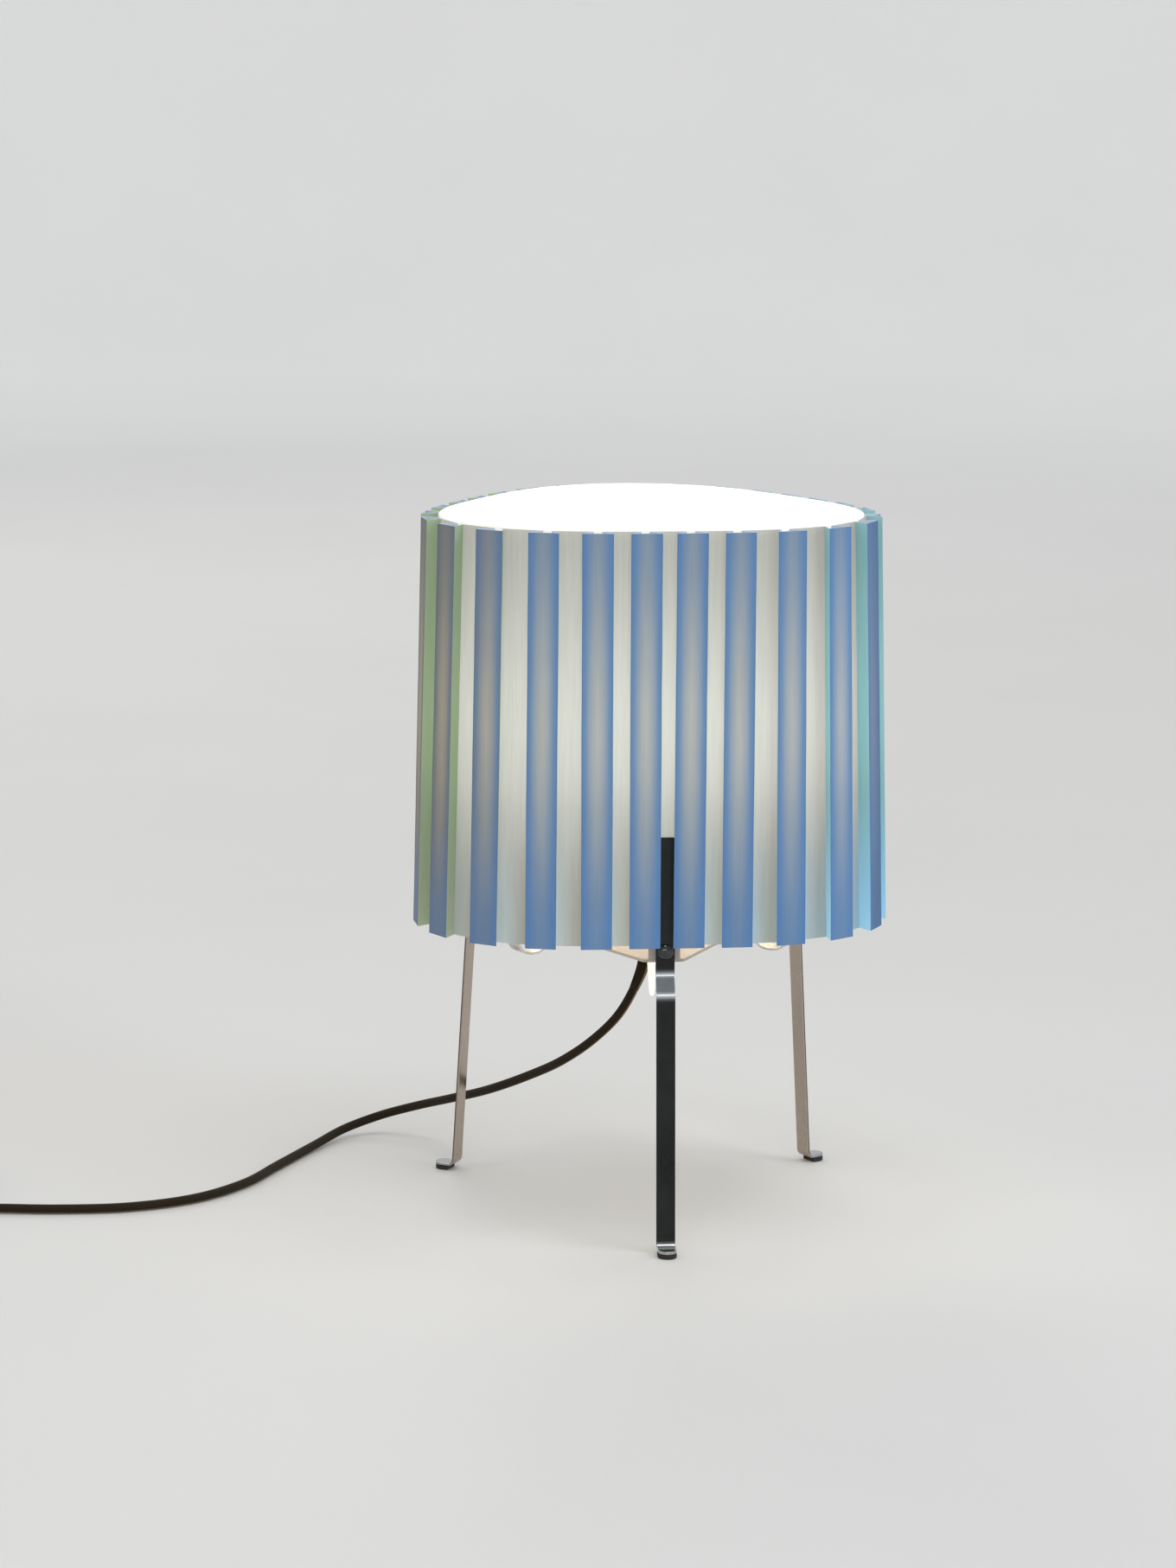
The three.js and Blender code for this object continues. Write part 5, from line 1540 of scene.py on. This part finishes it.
class LAMP_OT_hub(LampOperator, bpy.types.Operator):
    """Bevels and paints the hub plate, and bends the spring arms with their rivets"""
    bl_idname = "table_lamp.hub"
    bl_label = "Hub plate and spring arms"

    def make(self, scene):
        refined("hub_plate", "hub_plate_painted", "plate_finish", 0.00035, 3, 40)
        self.bend_arms(scene.lamp_strip_sizes, scene.lamp_shade_sizes)
        head, tail, out = 0.1501, 0.1462, 0.046
        profile = [
            (0.0, tail - 0.001), (0.0026, tail - 0.001), (0.0028, tail - 0.0008), (0.0028, tail),
            (0.0016, tail), (0.0016, head), *dome(0.0032, head, 0.0016, 10)]
        rivet = turned("rivet_pattern", profile, "zinc_steel", Vector((out, 0, 0)), 36, False)
        rivets = ringed("arm_rivets", smoothed(rivet), "zinc_steel", LOBE_ANGLES[0])
        settle(rivets, "base", "zinc_steel", *(f"arm_rivet_{name}" for name in LOBE_NAMES))

    def bend_arms(self, strip, shade):
        """Arms that dip in a loop beyond the plate, then rise along the inside of a lobe."""
        low, high = heights("shade_liner")[0], heights("shade_pleated_cover")[1]
        cover_gap, liner_wall, play = 0.0009, 0.0008, 0.00065
        outside = (shade.pleat_depth, cover_gap, liner_wall, play, strip.thickness / 2)

        def reach(height):
            """Radius of an arm's middle at a height: the lobe's radius less what lies outside it."""
            radius = shade.lobe_bottom + (shade.lobe_top - shade.lobe_bottom) * (height - low) / (high - low)
            for layer in outside:
                radius -= layer
            return radius

        start, bend_out, drop, loop, loop_out = 0.036, 0.060, 0.0083, 0.00965, 0.074
        upper, tip = 0.158, 0.200
        dip = SHELF_HEIGHT - drop
        corners = [
            (start, SHELF_HEIGHT, 0), (bend_out, SHELF_HEIGHT, 0.0025), (bend_out + drop, dip, loop),
            (loop_out + loop, dip, loop), (loop_out + loop, upper, 0.0025), (reach(upper), upper, 0.003),
            (reach(tip), tip, 0)]
        arm = strip_mesh("arm_pattern", bent_line(corners), strip, 0.0015, 0.0015, "zinc_steel")
        arms = ringed("spring_arms", arm, "zinc_steel", LOBE_ANGLES[0])
        settle(arms, "base", "zinc_steel", *(f"lobe_arm_{name}" for name in LOBE_NAMES))


class LAMP_OT_holder(LampOperator, bpy.types.Operator):
    """Turns the lampholder and the parts that clamp it to the plate"""
    bl_idname = "table_lamp.holder"
    bl_label = "Lampholder and clamp"

    def make(self, scene):
        low, high = heights("switch_housing")
        turned_piece("switch_housing", "moulded", rounded_profile([
            (0.0052, low, 0.0003), (0.019, low, 0.004), (0.019, high, 0.0004), (0.0174, high, 0.0003),
            (0.0174, low + 0.003, 0.001), (0.0052, low + 0.003, 0.0003)], 6), "white_plastic", steps=96)
        low, high = heights("switch_block")
        turned_piece("switch_block", "moulded", rounded_profile([
            (0.0, low, 0), (0.0171, low, 0.0005), (0.0171, high, 0.0005), (0.0, high, 0)]),
            "black_plastic", closed=False)
        self.turn_shell()
        low, high = heights("holder_sleeve")
        turned_piece("holder_sleeve", "rolled", rounded_profile([
            (0.0134, low, 0.0002), (0.0141, low, 0.0002), (0.0141, high, 0.0002),
            (0.0134, high, 0.0002)], 3), "brass")
        low, high = heights("centre_contact")
        contact = [(0.0, low), *dome(0.003, low, high - low, 12)]
        turned_piece("centre_contact", "domed", contact, "brass", closed=False)
        self.clamp()
        refined("pull_guide", "pull_guide_moulded", "white_plastic", 0.0002, 2, 40)

    def turn_shell(self):
        """The shell round the bulb's cap, ribbed for the hand."""
        low, high = heights("holder_shell")
        rib_depth, ribs = 0.00035, 40

        def ribbed(angle, radius, height):
            held = radius > SHELL_RADIUS - 0.0002 and low + 0.003 < height < high - 0.006
            return radius - (groove(rib_depth, ribs * angle) if held else 0.0)

        corners = [
            (0.0182, low, 0.0003), (SHELL_RADIUS, low, 0.0003), (SHELL_RADIUS, low + 0.0031, 0),
            (SHELL_RADIUS, low + 0.0045, 0), (SHELL_RADIUS, high - 0.0075, 0),
            (SHELL_RADIUS, high - 0.0061, 0), (SHELL_RADIUS, high, 0.0025), (0.0148, high, 0.0004),
            (0.0148, high - 0.0018, 0.0003), (0.0182, high - 0.0018, 0.0005)]
        turned_piece(
            "holder_shell", "moulded", rounded_profile(corners, 6), "white_plastic", steps=240, ripple=ribbed)

    def clamp(self):
        """Nipple, washer, nut and the cord grip under them."""
        low, high = heights("holder_nipple")
        thread_depth, thread_pitch, thread_radius, row = 0.00028, 0.001, 0.005, 0.00025

        def threaded(angle, radius, height):
            if radius <= thread_radius - 0.0001:
                return radius
            return radius - groove(thread_depth, 2 * math.pi * height / thread_pitch - angle)

        rows = int((high - low) / row)
        outside = [(thread_radius, low + (high - low) * k / rows) for k in range(rows + 1)]
        turned_piece(
            "holder_nipple", "threaded", [(0.0033, low), *outside, (0.0033, high)], "zinc_steel",
            steps=40, ripple=threaded)
        refined("holder_washer", "holder_washer_bevelled", "zinc_steel", 0.0002, 2)
        refined("holder_nut", "holder_nut_bevelled", "zinc_steel", 0.0004, 2)

        low, high = heights("cord_grip")
        socket = high - 0.0058
        flute_depth, flutes, grip_radius = 0.0003, 18, 0.0068

        def fluted(angle, radius, height):
            held = radius > grip_radius - 0.0001 and socket < height < high
            return radius - (groove(flute_depth, flutes * angle) if held else 0.0)

        corners = [
            (0.0027, low, 0.0003), (0.0042, low, 0.0004), (grip_radius, socket, 0.0003),
            (grip_radius, socket + 0.0006, 0), (grip_radius, high - 0.0006, 0), (grip_radius, high, 0.0003),
            (0.0052, high, 0.0002), (0.0052, socket, 0.0002), (0.0027, socket, 0.0002)]
        turned_piece(
            "cord_grip", "moulded", rounded_profile(corners, 4), "black_plastic", steps=108, ripple=fluted)


class LAMP_OT_pull(LampOperator, bpy.types.Operator):
    """Hangs the pull cord with its drop"""
    bl_idname = "table_lamp.pull"
    bl_label = "Pull cord and drop"

    def make(self, scene):
        low, high = box_ends("pull_drop")
        centre = Vector(((low.x + high.x) / 2, (low.y + high.y) / 2, 0))
        drop_radius, sample = 0.0026, 0.0006
        # Shares of the drop's radius and height, from its tip up to its shoulder.
        knots = [
            (0, 0), (0.34, 0.015), (0.56, 0.09), (0.72, 0.28), (0.89, 0.56), (1, 0.79), (0.88, 0.93),
            (0.42, 1)]
        points = [Vector((drop_radius * r, low.z + (high.z - low.z) * h, 0)) for r, h in knots]
        fine = smooth_curve(points, sample)
        profile = [(max(p.x, 0.0), min(max(p.y, low.z), high.z)) for p in fine] + [(0.0, high.z)]
        profile[0] = (0.0, low.z)
        turned_piece(
            "pull_drop", "moulded", profile, "drop_plastic", "pull", "white_plastic", centre=centre, steps=48,
            closed=False)

        bottom, top = heights("pull_cord")
        rows, cord_radius, lay_depth, lay = 40, 0.00078, 0.00003, 0.0004
        line = [Vector((centre.x, centre.y, bottom + (top - bottom) * k / rows)) for k in range(rows + 1)]
        cord = tube_along(
            "pull_cord_braided", line, lambda reached: cord_radius + lay_depth * math.sin(reached / lay), 12,
            "white_cord")
        settle(cord, "pull", "white_cord", "pull_cord")


class LAMP_OT_bulb(LampOperator, bpy.types.Operator):
    """Blows the opal bulb and turns its screw cap"""
    bl_idname = "table_lamp.bulb"
    bl_label = "Bulb"

    def make(self, scene):
        low, high = heights("bulb_glass")
        wall, neck = 0.001, 0.012
        outer = self.outline(low, high, BULB_RADIUS, neck)
        inner = self.outline(low, high, BULB_RADIUS - wall, neck - wall)
        turned_piece("bulb_glass", "blown", outer + inner[::-1], "opal_glass", "bulb", steps=80)
        self.turn_cap()
        low, high = heights("bulb_insulator")
        turned_piece("bulb_insulator", "moulded", rounded_profile([
            (0.0, low, 0), (0.005, low, 0.0006), (0.0123, high, 0.0002), (0.0, high, 0)]),
            "black_plastic", "bulb", closed=False)
        low, high = heights("bulb_contact")
        turned_piece("bulb_contact", "turned", rounded_profile([
            (0.0, low, 0), (0.0045, low, 0.0005), (0.0045, high, 0.0002), (0.0, high, 0)]),
            "brass", "bulb", closed=False)

    def outline(self, low, high, radius, neck):
        """Half outline of the glass: its neck, a hollow curve, a slope and the ball."""
        middle = high - BULB_RADIUS
        slope = math.radians(25)
        out, up = radius * math.cos(slope), middle - radius * math.sin(slope)
        foot = up - (out - neck) / math.tan(slope)
        stem = rounded_profile([(neck, low, 0), (neck, foot, 0.012), (out, up, 0), (0, up, 0)], 10)[:-1]
        arc = [-slope + (math.pi / 2 + slope) * k / 28 for k in range(1, 29)]
        return stem + [(max(radius * math.cos(a), 0), middle + radius * math.sin(a)) for a in arc]

    def turn_cap(self):
        """The rolled screw cap, closed at its lower end."""
        low, high = heights("bulb_cap")
        thread_depth, thread_pitch, rows, metal = 0.0007, 0.0036, 72, 0.0008

        def threaded(angle, radius, height):
            if radius <= CAP_RADIUS - 0.0005 or not low + 0.001 < height < high - 0.004:
                return radius
            return radius - groove(thread_depth, 2 * math.pi * height / thread_pitch - angle)

        side = [(CAP_RADIUS, low + 0.0009 + (high - low - 0.0012) * k / rows) for k in range(rows + 1)]
        profile = [
            (0.0, low), (0.0118, low), (0.0127, low + 0.0003), *side, (0.0129, high), (0.0123, high),
            (0.0123, low + metal), (0.0, low + metal)]
        turned_piece("bulb_cap", "threaded", profile, "zinc_steel", "bulb", steps=64, ripple=threaded)


class LAMP_PT_pieces(bpy.types.Panel):
    """The lamp's pieces, in the order that they are made"""
    bl_idname = "LAMP_PT_pieces"
    bl_label = "Tripod Table Lamp"
    bl_space_type = "VIEW_3D"
    bl_region_type = "UI"
    bl_category = "Table Lamp"

    def draw(self, context):
        for operator in OPERATORS:
            self.layout.operator(operator.bl_idname)
        for name, group in SETTINGS.items():
            box = self.layout.box()
            for key in group.__annotations__:
                box.prop(getattr(context.scene, name), key)


OPERATORS = (
    LAMP_OT_stage, LAMP_OT_cord, LAMP_OT_cover, LAMP_OT_liner, LAMP_OT_legs, LAMP_OT_leg_fasteners,
    LAMP_OT_hub, LAMP_OT_holder, LAMP_OT_pull, LAMP_OT_bulb,
)


def register():
    for cls in (*SETTINGS.values(), *OPERATORS, LAMP_PT_pieces):
        bpy.utils.register_class(cls)
    for name, group in SETTINGS.items():
        setattr(bpy.types.Scene, name, PointerProperty(type=group))


def unregister():
    for name in SETTINGS:
        delattr(bpy.types.Scene, name)
    for cls in reversed((*SETTINGS.values(), *OPERATORS, LAMP_PT_pieces)):
        bpy.utils.unregister_class(cls)


def main():
    register()
    bpy.ops.table_lamp.stage()
    bpy.ops.table_lamp.cord()
    bpy.ops.table_lamp.cover()
    bpy.ops.table_lamp.liner()
    bpy.ops.table_lamp.legs()
    bpy.ops.table_lamp.leg_fasteners()
    bpy.ops.table_lamp.hub()
    bpy.ops.table_lamp.holder()
    bpy.ops.table_lamp.pull()
    bpy.ops.table_lamp.bulb()


if __name__ == "__main__":
    main()
